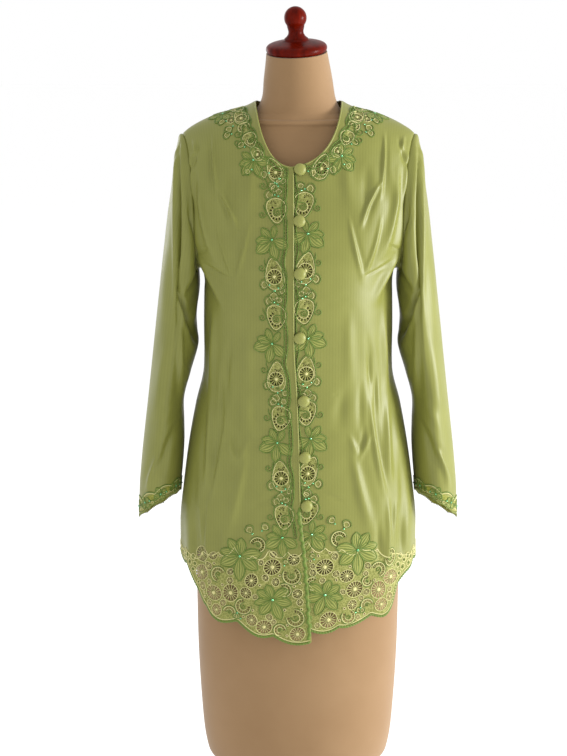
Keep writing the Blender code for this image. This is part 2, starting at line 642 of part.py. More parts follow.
satin_cloth = material("satin", SATIN)
border_cloth = material("embroidery", EMBROIDERED)
stained_wood = material("stained_wood", STAINED_WOOD)
make_fronts(satin_cloth, border_cloth)
cloth("back", back_grid(), satin_cloth)
make_sleeves(satin_cloth, border_cloth)
make_buttons(material("covered_button", COVERED_BUTTON))
make_cap(make_form(material("form_cover", FORM_COVER)), stained_wood)
make_stand(stained_wood, material("pole_metal", POLE_METAL))
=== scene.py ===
"""The looks of the kebaya blouse and of the dress form it rests on.

Lengths are millimetres until a mesh is made. +Z is up, the blouse opens towards -Y and the wearer's left is
at +X. Every cloth surface is a grid of points worked out from tables of sections. What is embroidered on it
is drawn flat, in real millimetres, and then laid onto that grid.
"""

import math

import bpy
import numpy as np
from mathutils.geometry import delaunay_2d_cdt
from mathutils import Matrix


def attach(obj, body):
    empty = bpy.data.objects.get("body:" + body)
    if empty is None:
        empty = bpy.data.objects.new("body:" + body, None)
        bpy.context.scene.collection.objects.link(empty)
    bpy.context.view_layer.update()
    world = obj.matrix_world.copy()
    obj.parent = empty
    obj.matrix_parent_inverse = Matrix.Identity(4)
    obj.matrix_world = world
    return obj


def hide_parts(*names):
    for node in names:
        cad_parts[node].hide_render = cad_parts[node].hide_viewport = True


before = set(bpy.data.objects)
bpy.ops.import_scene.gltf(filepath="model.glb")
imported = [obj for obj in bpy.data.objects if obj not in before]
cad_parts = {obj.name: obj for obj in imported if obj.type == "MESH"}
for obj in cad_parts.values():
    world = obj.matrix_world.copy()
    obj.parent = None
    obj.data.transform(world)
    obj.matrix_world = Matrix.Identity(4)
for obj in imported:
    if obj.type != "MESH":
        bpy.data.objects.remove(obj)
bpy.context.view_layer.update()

MM = 0.001
ROOT = "root"

# Cut and cloth
VISUAL_CLOTH, STITCH_LIFT = 0.7, 0.05
SEAM_HALF_GAP = 0.12
OVERLAP_LIFT, LIFT_REACH = 3.8, 45.0
UNDERLAP, STRIP = 15.0, 12.0
NECK_POINT_X, NECK_POINT_Z = 64.0, 1380.0
SHOULDER_TIP_X = 174.6
ARMHOLE_TOP, ARMHOLE_BOTTOM = 1331.0, 1130.0
NECK_FRONT_Z = 1287.0
NECK_PULL_X, NECK_PULL_Z = 50.0, 1286.0
NECK_BACK_Z = 1364.0
FRONT_CORNER_Z = 600.0
RIDGE_MIDDLE_Z = 1402.0
FRONT_ROUND, BACK_ROUND = 90.0, 60.0
SECTION_POWER = 2.4
SLIT_TOP = 736.0
BODY_DEPTH_SHARE = 0.78  # of the half width, in the round that the body is unrolled from

BODY_COLUMNS = ("z", "half_width", "front_depth", "back_depth")
BODY_SECTIONS = (
    (1402, 182, 70, 84),
    (1330, 180, 82, 94),
    (1290, 178, 90, 99),
    (1230, 175, 109, 104),
    (1180, 170, 123, 106),
    (1150, 157, 128, 105),
    (1130, 147, 130, 105),
    (1105, 143, 131, 103),
    (1050, 144, 128, 99),
    (977, 145.5, 121, 96),
    (920, 158, 120, 101),
    (858, 169.5, 122, 109),
    (793, 178, 125, 116),
    (736, 184.5, 128, 121),
    (650, 185, 131, 124),
    (550, 184, 133, 126),
)

SHOULDER_COLUMNS = ("x", "z", "y")
SHOULDER_LINE = (
    (0, RIDGE_MIDDLE_Z, 8),
    (NECK_POINT_X, NECK_POINT_Z, 8),
    (78, 1373, 7),
    (100, 1367, 5),
    (120, 1361, 4),
    (140, 1353, 2.5),
    (165, 1339, 0.5),
    (SHOULDER_TIP_X, ARMHOLE_TOP, 0),
)

OPENING_COLUMNS = ("z", "x")
OPENING_LINE = ((1300, -8), (1040, -7), (945, -2), (860, 1), (785, 3), (700, 12), (560, 21))

ARMHOLE_COLUMNS = ("turn", "front_angle", "back_angle")
ARMHOLE = (
    (0, 76, 76),
    (30, 69, 71),
    (64, 64.5, 67.5),
    (93, 63.5, 66.5),
    (131, 68, 70),
    (160, 79, 80),
    (180, 90, 90),
)

HEM_COLUMNS = ("angle", "left_z", "right_z", "lace_height")
HEM = (
    (-8, 604, 576, 150),
    (0, 602, 580, 148),
    (16, 597, 588, 132),
    (30, 611, 606, 116),
    (44, 616, 614, 104),
    (49, 626, 625, 88),
    (55, 656, 655, 50),
    (64, 680, 680, 24),
    (90, 690, 690, 10),
)
SCALLOP_ANGLE, SCALLOP_DEPTH = 18.0, 8.5
BACK_HEM_Z, BACK_HEM_DROP = 684.0, 16.0

FOLD_COLUMNS = ("angle_top", "angle_bottom", "z_top", "z_bottom", "half_angle", "height")
LEFT_FOLDS = ((40, 47, 1110, 560, 7, 3.2), (61, 66, 1060, 560, 8, 4.6), (25, 33, 900, 620, 6, -1.8))
RIGHT_FOLDS = ((36, 42, 1090, 560, 8, 3.6), (57, 64, 1100, 560, 7, 4.2), (74, 76, 980, 640, 6, -2.2))
BACK_FOLDS = ((-52, -58, 1050, 560, 9, 4.5), (-14, -20, 1120, 560, 8, 3.5), (24, 20, 1080, 560, 8, 3.8),
              (56, 62, 1030, 560, 8, 4.2))

SLEEVE_COLUMNS = ("outer_x", "outer_z", "inner_x", "inner_z", "half_depth", "centre_y", "roundness",
                  "front_rise")
SLEEVE_SECTIONS = (
    (180.5, 1314, 151.0, 1122, 61, 0, 1.9, 0),
    (187.0, 1286, 150.5, 1113, 66, 0, 1.8, 0),
    (191.5, 1252, 150.5, 1102, 70, 0, 1.7, 0),
    (197.0, 1216, 152.0, 1088, 73, 0, 1.6, 0),
    (202.5, 1172, 154.5, 1072, 74, -1, 1.6, 0),
    (208.5, 1122, 156.0, 1054, 74, -2, 1.6, 0),
    (215.0, 1068, 155.0, 1034, 72, -3, 1.6, 0),
    (221.5, 1013, 153.5, 1012, 69, -5, 1.7, 0),
    (227.0, 968, 165.0, 970, 66, -6, 1.8, 0),
    (232.5, 922, 176.0, 926, 63, -8, 1.9, 0),
    (237.0, 886, 176.0, 892, 60, -9, 2.0, 0),
    (241.0, 852, 176.0, 863, 57, -10, 2.0, 2),
    (244.0, 822, 177.5, 838, 54, -11, 2.0, 5),
    (246.5, 793, 179.5, 816, 52, -12, 2.0, 8),
    (247.5, 764, 181.5, 798, 50, -12, 2.0, 11),
    (248.0, 738, 182.5, 782, 49, -12, 2.0, 14),
)
CUFF_SCALLOPS, CUFF_SCALLOP_DEPTH, CUFF_ROWS = 8, 2.5, 8
GATHERS, GATHER_HEIGHT, SLEEVE_HEAD_SWELL = 24, 1.3, 2.2
# The line that a sleeve is unrolled from, seen from the front, and the ellipse round it
ARM_START, ARM_HEADING, ARM_LENGTH, ARM_BOW, ARM_CENTRE_Y = (163.0, 1240.0), (0.112, -0.994), 460, 6.0, -6
ARM_DEPTH_AT, ARM_DEPTHS, ARM_FLATNESS, ARM_UNROLLED = (-60, 100, 450), (58, 73, 50), 0.55, 60

# Creases: each runs from (x, z) to (x, z) and bows sideways. The height is signed, a trough is negative.
CREASE_COLUMNS = ("x0", "z0", "x1", "z1", "bow", "half_width", "height")
FRONT_CREASES = (
    (126, 1342, 117, 1236, -2, 2.8, 3.6),
    (122, 1270, 88, 1196, 4, 3.0, 3.2),
    (71, 1222, 95, 1116, 1, 3.0, 2.3),
    (121, 1222, 90, 1122, -4, 3.2, 2.3),
    (146, 1292, 122, 1150, -6, 5.0, 4.4),
    (137, 1284, 143, 1215, 0, 6.0, 1.8),
    (159, 1170, 111, 1082, 6, 5.5, 5.6),
    (92, 1131, 145, 1155, 3, 2.2, -1.6),
    (129, 1178, 151, 1164, 1, 2.0, -1.6),
    (147, 1331, 168, 1274, 4, 3.0, -2.6),
    (157, 1331, 150, 1300, 1, 3.0, 2.0),
    (161, 1312, 163, 1222, 3, 3.6, 2.2),
    (67, 1314, 78, 1218, 2, 9.0, 1.8),
    (98, 1294, 101, 1216, 1, 8.0, -2.4),
    (127, 1092, 135, 932, 2, 5.0, 3.8),
    (134, 948, 141, 798, 3, 5.0, 4.4),
    (106, 952, 135, 782, 5, 3.6, 4.0),
    (135, 798, 135, 668, -2, 4.0, 3.6),
    (105, 1018, 108, 962, 0, 1.7, -1.5),
    (115, 988, 117, 912, 1, 2.2, -1.9),
    (73, 1088, 79, 950, 2, 8.0, 1.9),
    (68, 968, 60, 898, 2, 9.0, -2.2),
    (92, 980, 93, 884, 1, 5.0, -1.6),
    (99, 1054, 109, 940, -2, 5.0, -1.8),
    (73, 899, 95, 850, 1, 4.0, 1.7),
    (90, 852, 108, 899, 1, 3.6, 1.8),
    (98, 910, 95, 866, 0, 3.4, -1.2),
    (76, 890, 115, 726, 3, 7.0, 2.9),
    (120, 764, 126, 678, 1, 5.0, -2.4),
    (152, 872, 158, 700, -5, 6.0, -2.6),
    (149, 788, 144, 690, 1, 4.0, 3.0),
    (160, 760, 160, 690, 1, 4.0, -2.0),
    (44, 1100, 99, 1097, 1, 1.4, -0.6),
    (41, 954, 60, 957, 1, 1.5, -0.7),
    (34, 810, 72, 793, 2, 2.6, -1.0),
)
BACK_CREASES = (
    (-110, 1330, -96, 1190, 5, 8.0, 2.2),
    (-60, 1300, -70, 1150, 3, 10.0, -1.8),
    (58, 1310, 76, 1160, -3, 9.0, 2.0),
    (120, 1322, 108, 1170, 4, 7.0, -2.2),
    (-148, 1160, -92, 1090, -8, 6.5, 3.6),
    (148, 1166, 86, 1080, 9, 6.5, 3.8),
    (-140, 1140, -100, 1062, -7, 5.5, -2.8),
    (141, 1142, 104, 1056, 7, 5.5, -2.6),
    (-78, 1050, -64, 860, 4, 7.0, 2.6),
    (-30, 1030, -36, 820, -3, 8.0, -2.2),
    (22, 1060, 30, 850, 3, 7.5, 2.4),
    (74, 1020, 88, 820, -4, 7.0, -2.6),
    (-112, 940, -128, 740, 3, 6.5, 3.0),
    (50, 880, 62, 700, 2, 8.0, 2.4),
    (-6, 860, -10, 690, 2, 8.5, 2.2),
    (118, 930, 134, 730, -4, 6.0, 2.8),
    (-150, 840, -160, 720, 2, 5.5, -2.4),
    (40, 1160, -30, 1150, 3, 9.0, 1.4),
)
SLEEVE_FRONT_CREASES = (
    (177, 1372, 178, 1120, -1, 2.7, -7.0),
    (163, 1300, 166, 1066, 1, 7.5, 7.0),
    (178, 1262, 179, 1050, 0, 2.7, -6.0),
    (180, 1132, 149, 1010, -3, 3.0, -7.0),
    (175, 1100, 179, 892, 1, 3.4, 2.4),
    (178, 914, 211, 822, -5, 6.0, -3.4),
    (206, 869, 233, 786, -4, 4.0, 3.8),
    (143, 1150, 171, 1088, -3, 4.0, -3.4),
    (150, 1112, 166, 1040, 2, 4.5, 2.4),
    (194, 1046, 213, 903, -3, 8.0, 1.8),
    (190, 1300, 204, 1130, -3, 8.0, -1.4),
    (190, 938, 216, 871, -3, 7.0, 2.0),
    (200, 1180, 206, 1020, 2, 7.0, 1.6),
    (172, 1010, 170, 940, 2, 5.0, 1.6),
)
SLEEVE_BACK_CREASES = (
    (186, 1276, 196, 1160, 3, 6.0, 3.0),
    (176, 1230, 190, 1110, 4, 6.0, -3.0),
    (200, 1120, 170, 1034, 6, 6.0, 4.2),
    (206, 1088, 172, 1010, 6, 5.5, -3.6),
    (210, 1040, 178, 984, 5, 6.0, 3.0),
    (196, 960, 214, 842, -4, 7.0, 2.6),
    (214, 930, 232, 800, -4, 6.0, -2.6),
)
CREASE_SHIFT = -6.0  # the right side's creases lie this much lower, so the sides are not one mirror image
CREASE_GAIN, BACK_CREASE_GAIN = 1.3, 1.5
QUIET_LEFT, QUIET_RIGHT, QUIET_END = 40, 30, 75  # beside the opening creases fade in over this stretch
SEAM_WIDTH, SEAM_DEPTH = 2.2, 1.1

# Grids, in intervals
FINE_STEPS = 260
YOKE_NECK_ROWS, YOKE_DROP_ROWS, SKIRT_ROWS, LACE_ROWS = 48, 60, 92, 52
NEAR_STEP, NEAR_COLUMNS, FAR_COLUMNS = 2.6, 29, 74
BACK_GRID = (80, 116, 112)
SLEEVE_GRID = (168, 152)

# Buttons
BUTTON_HEIGHTS = (1283, 1211, 1137, 1042, 948, 862, 788)
BUTTON_RADIUS, BUTTON_RISE = 8.5, 5.4
BUTTON_SEGMENTS, LOOP_TURN = 32, 122
PANEL_STACK, BUTTON_SEAT = 1.8, 2.6  # border and gaps under a button, and its edge above them

# Dress form
FORM_COLUMNS = ("z", "half_width", "front_depth", "back_depth", "centre_x", "centre_y")
FORM_SECTIONS = (
    (330, 112, 76, 78, 0, 0),
    (336, 132, 90, 93, 0, 0),
    (352, 144, 98, 102, 0, 0),
    (420, 153, 105, 109, 0, 0),
    (560, 159, 110, 114, 0, 0),
    (720, 160, 110, 112, 0, 0),
    (790, 152, 106, 105, 0, 0),
    (860, 137, 101, 94, 0, 0),
    (920, 124, 98, 86, 0, 0),
    (980, 117, 97, 82, 0, 0),
    (1040, 121, 106, 86, 0, 0),
    (1110, 130, 120, 92, 0, 0),
    (1160, 135, 117, 95, 0, 0),
    (1215, 145, 100, 95, 0, 0),
    (1265, 154, 83, 92, 0, 0),
    (1300, 157, 71, 84, 0, 0),
    (1322, 148, 60, 74, 0, 0),
    (1338, 126, 53, 65, 0, 1),
    (1350, 100, 51, 58, 0, 2),
    (1361, 71, 50, 54, 0, 2),
    (1372, 60, 51, 52, 0, 1),
    (1388, 54, 50, 51, 0, -1),
    (1412, 51, 49, 50, -1, -5),
    (1434, 47.5, 47, 47, -2, -9),
    (1450, 45, 45, 45, -3, -12),
)
FORM_POWER, NECK_FROM_Z = 2.15, 1361.0
FORM_RINGS, FORM_SEGMENTS = 230, 112
NECK_RIDGE_Z, NECK_RIDGE_HALF, NECK_RIDGE_RISE = 1348.5, 4.0, 3.4
NECK_RIDGE_FINE = (1340, 1358)  # a ring every mm here
CAP_TILT, CAP_LEAN = 10.7, 2.5
CAP_PROFILE = (
    (0, 0), (42, 0), (44.4, 2.2), (45.4, 5.5), (44.8, 9), (42, 12), (36, 14.3), (25, 16.5), (18.5, 18),
    (17.6, 20.5), (14.2, 23), (11.6, 27), (11.0, 31), (12.2, 35.5),
)
KNOB_CENTRE, KNOB_RADIUS = 50.5, 16.6
POLE_RADIUS = 16.0
BASE_RADIUS, BASE_HEIGHT, BASE_EDGE, HUB_RADIUS, HUB_HEIGHT = 200.0, 18.0, 4.0, 38.0, 46.0
PIECE_GAP = 0.3  # between the stand's parts and the form

# Camera: where it stands, how far it looks down, and its lens on a 36 mm high frame
CAMERA_PLACE = (-22.5, -2400.0, 1460.0)
CAMERA_DOWN = 11.845
CAMERA_LENS = 75.476

# Light: the surroundings' strength, the floor's reach in mm, and softboxes in metres and watts
WORLD_STRENGTH, FLOOR_REACH = 1.0, 60000.0
LIGHTS = (  # name, place, target, size, power
    ("key", (2.9, -0.62, 1.25), (0.05, 0, 1.05), 0.9, 118.0),
    ("fill", (-1.6, -2.4, 1.5), (0, 0, 1.0), 1.2, 4.0),
    ("back_light", (-1.8, 2.6, 1.6), (0, 0, 1.0), 1.4, 16.0),
)


# ------------------------------------------------------------------------------------------------- arithmetic
def column(table, columns, name):
    """One named column of a table, as an array."""
    return np.array([row[columns.index(name)] for row in table], float)


def smooth(at, known, values):
    """Monotone cubic interpolation (Fritsch and Carlson), flat past both ends of the table."""
    order = np.argsort(known)
    known, values = np.asarray(known, float)[order], np.asarray(values, float)[order]
    at = np.clip(at, known[0], known[-1])
    step = np.diff(known)
    rise = np.diff(values) / step
    slope = np.concatenate([[rise[0]], np.zeros(len(rise) - 1), [rise[-1]]])
    turning = rise[:-1] * rise[1:] <= 0
    before, after = step[:-1] + 2 * step[1:], 2 * step[:-1] + step[1:]
    with np.errstate(divide="ignore", invalid="ignore"):
        mean = (before + after) / (before / rise[:-1] + after / rise[1:])
    slope[1:-1] = np.where(turning, 0, mean)
    i = np.clip(np.searchsorted(known, at) - 1, 0, len(step) - 1)
    return cubic(values, slope, i, step[i], (at - known[i]) / step[i])


def cubic(values, slopes, i, step, t):
    """The cubic from knot i to the next, step wide, at the share t of the way."""
    return (values[i] * (1 + 2 * t) * (1 - t) ** 2 + slopes[i] * step * t * (1 - t) ** 2
            + values[i + 1] * t * t * (3 - 2 * t) - slopes[i + 1] * step * t * t * (1 - t))


def read(table, columns, at, name):
    """A named column of a table, at these values of its first column."""
    return smooth(at, column(table, columns, columns[0]), column(table, columns, name))


def arc_between(start, pull, end, t):
    """A quadratic curve from start to end that pull draws towards itself."""
    return (1 - t) ** 2 * start + 2 * t * (1 - t) * pull + t * t * end


def bell(away, width):
    """1 at no distance, and a Gaussian fall to either side."""
    return np.exp(-((away / width) ** 2))


def rounded_sine(sine, power):
    """A superellipse's coordinate for the sine or cosine of its turn."""
    return np.sign(sine) * np.abs(sine) ** (2 / power)


def all_round(steps):
    """Turns right round, in radians."""
    return np.linspace(0, 2 * math.pi, steps, endpoint=False)


def pairs(first, second):
    """(first, second) along a new last axis. Either may be a single number."""
    return np.stack(np.broadcast_arrays(first, second), axis=-1)


def fade(value, start, end):
    """0 before start and 1 after end, with the soft step 3t^2 - 2t^3 between."""
    t = np.clip((value - start) / (end - start), 0, 1)
    return t * t * (3 - 2 * t)


def unit(vectors):
    return vectors / np.maximum(np.linalg.norm(vectors, axis=-1, keepdims=True), 1e-9)


def lengths_along(points):
    """Running length along each row of points."""
    steps = np.linalg.norm(np.diff(points, axis=-2), axis=-1)
    return np.concatenate([np.zeros(steps.shape[:-1] + (1,)), np.cumsum(steps, axis=-1)], axis=-1)


def lengths_down(points):
    """Running length down each column of points."""
    return lengths_along(points.transpose(1, 0, 2)).T


def body(z, name):
    return read(BODY_SECTIONS, BODY_COLUMNS, z, name)


def shoulder(x, name):
    return read(SHOULDER_LINE, SHOULDER_COLUMNS, x, name)


def opening_x(z):
    return read(OPENING_LINE, OPENING_COLUMNS, z, "x")


def angle_of(x, z):
    """The angle round the body, in degrees from its middle, of a point x from the middle at height z."""
    return np.degrees(np.arcsin(np.clip(x / body(z, "half_width"), -1, 1)))


def body_surface(angle, z, facing):
    """The blouse's outer surface: a superellipse at each height, whose depth dies away as a quarter of an
    ellipse where it rounds over the shoulder. facing is -1 for the front and 1 for the back."""
    sine = np.sin(np.radians(angle))
    depth = body(z, "front_depth" if facing < 0 else "back_depth")
    x = body(z, "half_width") * sine
    y = facing * depth * (1 - np.abs(sine) ** SECTION_POWER) ** (1 / SECTION_POWER)
    ridge_z, ridge_y = shoulder(np.abs(x), "z"), shoulder(np.abs(x), "y")
    below = np.clip((ridge_z - z) / (FRONT_ROUND if facing < 0 else BACK_ROUND), 0, 1)
    y = ridge_y + (y - ridge_y) * np.sqrt(1 - (1 - below) ** 2)
    return np.stack([x, y + facing * SEAM_HALF_GAP, z], axis=-1)


def coons(top, bottom, first, last):
    """The grid that fills four edges: top and bottom have a point a column, first and last one a row."""
    s = np.linspace(0, 1, len(top))[None, :, None]
    t = np.linspace(0, 1, len(first))[:, None, None]
    corners = ((1 - s) * (1 - t) * top[0] + s * (1 - t) * top[-1] + (1 - s) * t * bottom[0]
               + s * t * bottom[-1])
    return (1 - t) * top[None] + t * bottom[None] + (1 - s) * first[:, None] + s * last[:, None] - corners


def armhole_edge(share, facing):
    """(angle, z) down one side of the armhole: share 0 is the shoulder tip and share 1 the underarm."""
    turn = 180 * np.asarray(share, float)
    name = "front_angle" if facing < 0 else "back_angle"
    middle, half = (ARMHOLE_TOP + ARMHOLE_BOTTOM) / 2, (ARMHOLE_TOP - ARMHOLE_BOTTOM) / 2
    return pairs(read(ARMHOLE, ARMHOLE_COLUMNS, turn, name), middle + half * np.cos(np.radians(turn)))


def grid_normals(points, wrap=False):
    """A unit normal at each point of a grid, turned away from the axis of the grid's own middle."""
    if wrap:
        across = np.roll(points, -1, axis=1) - np.roll(points, 1, axis=1)
    else:
        across = np.gradient(points, axis=1)
    normal = unit(np.cross(np.gradient(points, axis=0), across))
    middle = points.mean(axis=1, keepdims=True) * (1 if wrap else 0)
    outwards = ((points - middle) * normal)[..., :2].sum()
    return normal * (1 if outwards >= 0 else -1)


def push_folds(points, angle, folds):
    """Moves a grid out along its normals by rounded ridges, which run down it and deepen on the way."""
    z = points[..., 2]
    push = np.zeros_like(z)
    for row in folds:
        fold = dict(zip(FOLD_COLUMNS, row))
        share = np.clip((fold["z_top"] - z) / (fold["z_top"] - fold["z_bottom"]), 0, 1)
        middle = fold["angle_top"] + (fold["angle_bottom"] - fold["angle_top"]) * share
        push += fold["height"] * share * bell(angle - middle, fold["half_angle"])
    return points + grid_normals(points) * push[..., None]


def crease_push(x, z, creases, shift=0.0):
    """How far each place stands out: along each crease's line a bell across it, sin^1.3 along it, and on one
    side a shallower bell of the other sign, so that a ridge throws a hollow beside it."""
    push = np.zeros_like(x)
    for row in creases:
        crease = dict(zip(CREASE_COLUMNS, row))
        start = np.array([crease["x0"], crease["z0"] + shift], float)
        along = np.array([crease["x1"], crease["z1"] + shift], float) - start
        length = np.linalg.norm(along)
        along /= length
        dx, dz = x - start[0], z - start[1]
        t = (dx * along[0] + dz * along[1]) / length
        inside = np.clip(t, 0, 1)
        off = dx * along[1] - dz * along[0] - crease["bow"] * 4 * inside * (1 - inside)
        width = crease["half_width"] * (0.75 + 0.5 * inside)
        ridge = bell(off, width) - 0.42 * bell(off + 1.9 * width, 1.3 * width)
        push += CREASE_GAIN * crease["height"] * ridge * np.sin(np.pi * inside) ** 1.3
    return push


def ripple(x, z, seed, cell, height):
    """A gentle unevenness: six crossed sine waves with seeded directions and phases."""
    chance = np.random.default_rng(seed)
    total = np.zeros_like(x)
    for _ in range(6):
        turn = chance.uniform(-0.5, 0.5)
        phase = chance.uniform(0, 6.283)
        scale = chance.uniform(0.7, 1.5)
        total += np.sin((x * math.cos(turn) + z * 0.35 * math.sin(turn)) * 6.283 / (cell * scale) + phase)
    return total * height / 6


# ----------------------------------------------------------------------------------------------------- sheets
class Sheet:
    """A cloth surface as a grid of points: rows run down it, columns across. A place is (row, column)."""

    def __init__(self, points, wrap=False):
        self.points, self.wrap = points, wrap
        self.normals = grid_normals(points, wrap)
        self.rows, self.columns = points.shape[:2]

    def mixed(self, grid, places):
        """What a grid of values holds at these places, between its points."""
        row = np.clip(places[..., 0], 0, self.rows - 1.001)
        last = self.columns if self.wrap else self.columns - 1.001
        col = np.mod(places[..., 1], self.columns) if self.wrap else np.clip(places[..., 1], 0, last)
        r, c = np.floor(row).astype(int), np.floor(col).astype(int)
        t, s = (row - r)[..., None], (col - c)[..., None]
        c1 = (c + 1) % self.columns if self.wrap else c + 1
        c = c % self.columns
        return (grid[r, c] * (1 - t) * (1 - s) + grid[r + 1, c] * t * (1 - s)
                + grid[r, c1] * (1 - t) * s + grid[r + 1, c1] * t * s)

    def at(self, places, height=0.0):
        """Points at these places, raised along the normal."""
        return self.mixed(self.points, places) + self.out(places) * height

    def out(self, places):
        """Unit normals at these places."""
        return unit(self.mixed(self.normals, places))

    def nearest(self, target):
        """The place of the grid point nearest to one target."""
        away = ((self.points - np.asarray(target, float)) ** 2).sum(-1)
        return np.array(np.unravel_index(np.argmin(away), away.shape), float)

    def locate(self, targets, start):
        """The places nearest to these targets, by Gauss-Newton steps from one start."""
        places = np.broadcast_to(start, targets.shape[:-1] + (2,)).astype(float).copy()
        for _ in range(5):
            miss = targets - self.at(places)
            down = self.at(places + (0.5, 0)) - self.at(places - (0.5, 0))
            across = self.at(places + (0, 0.5)) - self.at(places - (0, 0.5))
            a, b, d = (down * down).sum(-1), (down * across).sum(-1), (across * across).sum(-1)
            p, q = (miss * down).sum(-1), (miss * across).sum(-1)
            det = np.maximum(a * d - b * b, 1e-6)
            step = np.stack([(p * d - q * b) / det, (q * a - p * b) / det], axis=-1)
            places += np.clip(step, -14, 14)
            places[..., 0] = np.clip(places[..., 0], 0, self.rows - 1)
            if not self.wrap:
                places[..., 1] = np.clip(places[..., 1], 0, self.columns - 1)
        return places


class Frame:
    """Lays flat drawings, in mm, onto a sheet around one place. right and up are the drawing's own axes. up
    points up the sheet before the drawing is turned, clockwise and in degrees."""

    def __init__(self, sheet, place, right, turn=0.0, size=1.0):
        self.sheet, self.place, self.size = sheet, np.asarray(place, float), size
        self.centre = sheet.at(self.place)
        normal = sheet.out(self.place)
        right = unit(right - normal * np.dot(right, normal))
        up = np.cross(normal, right)
        if np.dot(up, sheet.at(self.place - (1.5, 0)) - sheet.at(self.place + (1.5, 0))) < 0:
            up = -up
        c, s = math.cos(math.radians(-turn)), math.sin(math.radians(-turn))
        self.right, self.up = right * c + up * s, up * c - right * s

    def lay(self, drawing):
        """Places of a flat drawing."""
        flat = np.asarray(drawing, float) * self.size
        spots = self.centre + flat[..., :1] * self.right + flat[..., 1:] * self.up
        return self.sheet.locate(spots, self.place)


def across_frame(sheet, place, turn=0.0, size=1.0):
    """A drawing frame whose right runs the way the columns do."""
    return Frame(sheet, place, sheet.at(place + (0, 1)) - sheet.at(place - (0, 1)), turn, size)


def front_sheet(side):
    """A front. Its rows run from the opening edge to the side seam. The columns lie NEAR_STEP apart beside
    the opening and evenly from there on. side is 1 for the wearer's left."""
    left = side > 0

    def edge_x(z):
        return opening_x(z) - UNDERLAP if left else -opening_x(z)

    t = np.linspace(0, 1, YOKE_NECK_ROWS + 1) ** 1.5
    x = arc_between(NECK_POINT_X, NECK_PULL_X, float(edge_x(NECK_FRONT_Z)), t)
    z = arc_between(NECK_POINT_Z, NECK_PULL_Z, NECK_FRONT_Z, t)
    drop = np.linspace(NECK_FRONT_Z, ARMHOLE_BOTTOM, YOKE_DROP_ROWS + 1)[1:]
    first = np.concatenate([pairs(angle_of(x, z), z), pairs(angle_of(edge_x(drop), drop), drop)])
    fine = np.linspace(0, 1, FINE_STEPS)
    top_x = NECK_POINT_X + (SHOULDER_TIP_X - NECK_POINT_X) * fine
    top = pairs(angle_of(top_x, shoulder(top_x, "z")), shoulder(top_x, "z"))
    level = pairs(first[-1, 0] + (90 - first[-1, 0]) * fine, ARMHOLE_BOTTOM)
    yoke = coons(top, level, first, armhole_edge(np.linspace(0, 1, len(first)), -1))
    start = angle_of(edge_x(FRONT_CORNER_Z), FRONT_CORNER_Z)
    hem_angle = start + (90 - start) * fine
    scallop = SCALLOP_DEPTH * np.abs(np.sin(np.pi * (hem_angle - hem_angle[0]) / SCALLOP_ANGLE))
    hem_z = read(HEM, HEM_COLUMNS, hem_angle, "left_z" if left else "right_z") - scallop
    lace_z = hem_z + read(HEM, HEM_COLUMNS, hem_angle, "lace_height")
    share = np.linspace(0, 1, SKIRT_ROWS + 1)[1:, None]
    lace_share = np.linspace(0, 1, LACE_ROWS + 1)[1:, None]
    skirt_z = ARMHOLE_BOTTOM + (lace_z - ARMHOLE_BOTTOM) * share
    z = np.concatenate([skirt_z, lace_z + (hem_z - lace_z) * lace_share])
    start = angle_of(edge_x(z), z)
    sheet = np.concatenate([yoke, pairs(start + (90 - start) * fine, z)])
    surface = body_surface(sheet[..., 0], sheet[..., 1], -1)
    along = lengths_along(surface)
    near = np.arange(NEAR_COLUMNS + 1) * NEAR_STEP
    far = np.linspace(0, 1, FAR_COLUMNS + 1)[1:]
    rows = []
    for surface_row, sheet_row, length in zip(surface, sheet, along):
        at = np.concatenate([near, near[-1] + (length[-1] - near[-1]) * far])
        rows.append([np.interp(at, length, v) for v in (*surface_row.T, sheet_row[:, 0])])
    rows = np.array(rows).transpose(0, 2, 1)
    points = push_folds(rows[..., :3], rows[..., 3], LEFT_FOLDS if left else RIGHT_FOLDS)
    if not left:
        away = lengths_along(points)
        below_neck = np.clip(np.arange(len(points)) / YOKE_NECK_ROWS, 0, 1)
        lifted = (1 - fade(away, 0, LIFT_REACH)) * below_neck[:, None]
        points = points + grid_normals(points) * OVERLAP_LIFT * lifted[..., None]
    quiet = fade(lengths_along(points), QUIET_LEFT if left else QUIET_RIGHT, QUIET_END)
    x, z = points[..., 0], points[..., 2]
    push = crease_push(x, z, FRONT_CREASES, 0 if left else CREASE_SHIFT) * quiet
    push += ripple(x, z, seed=3 if left else 4, cell=60, height=0.9) * quiet
    to_side = lengths_along(points)[:, -1:] - lengths_along(points)
    seam = np.maximum(bell(to_side, SEAM_WIDTH) * (z > SLIT_TOP), bell(lengths_down(points), SEAM_WIDTH))
    push -= SEAM_DEPTH * seam
    points = points + grid_normals(points) * push[..., None]
    return Sheet(points * (side, 1, 1))


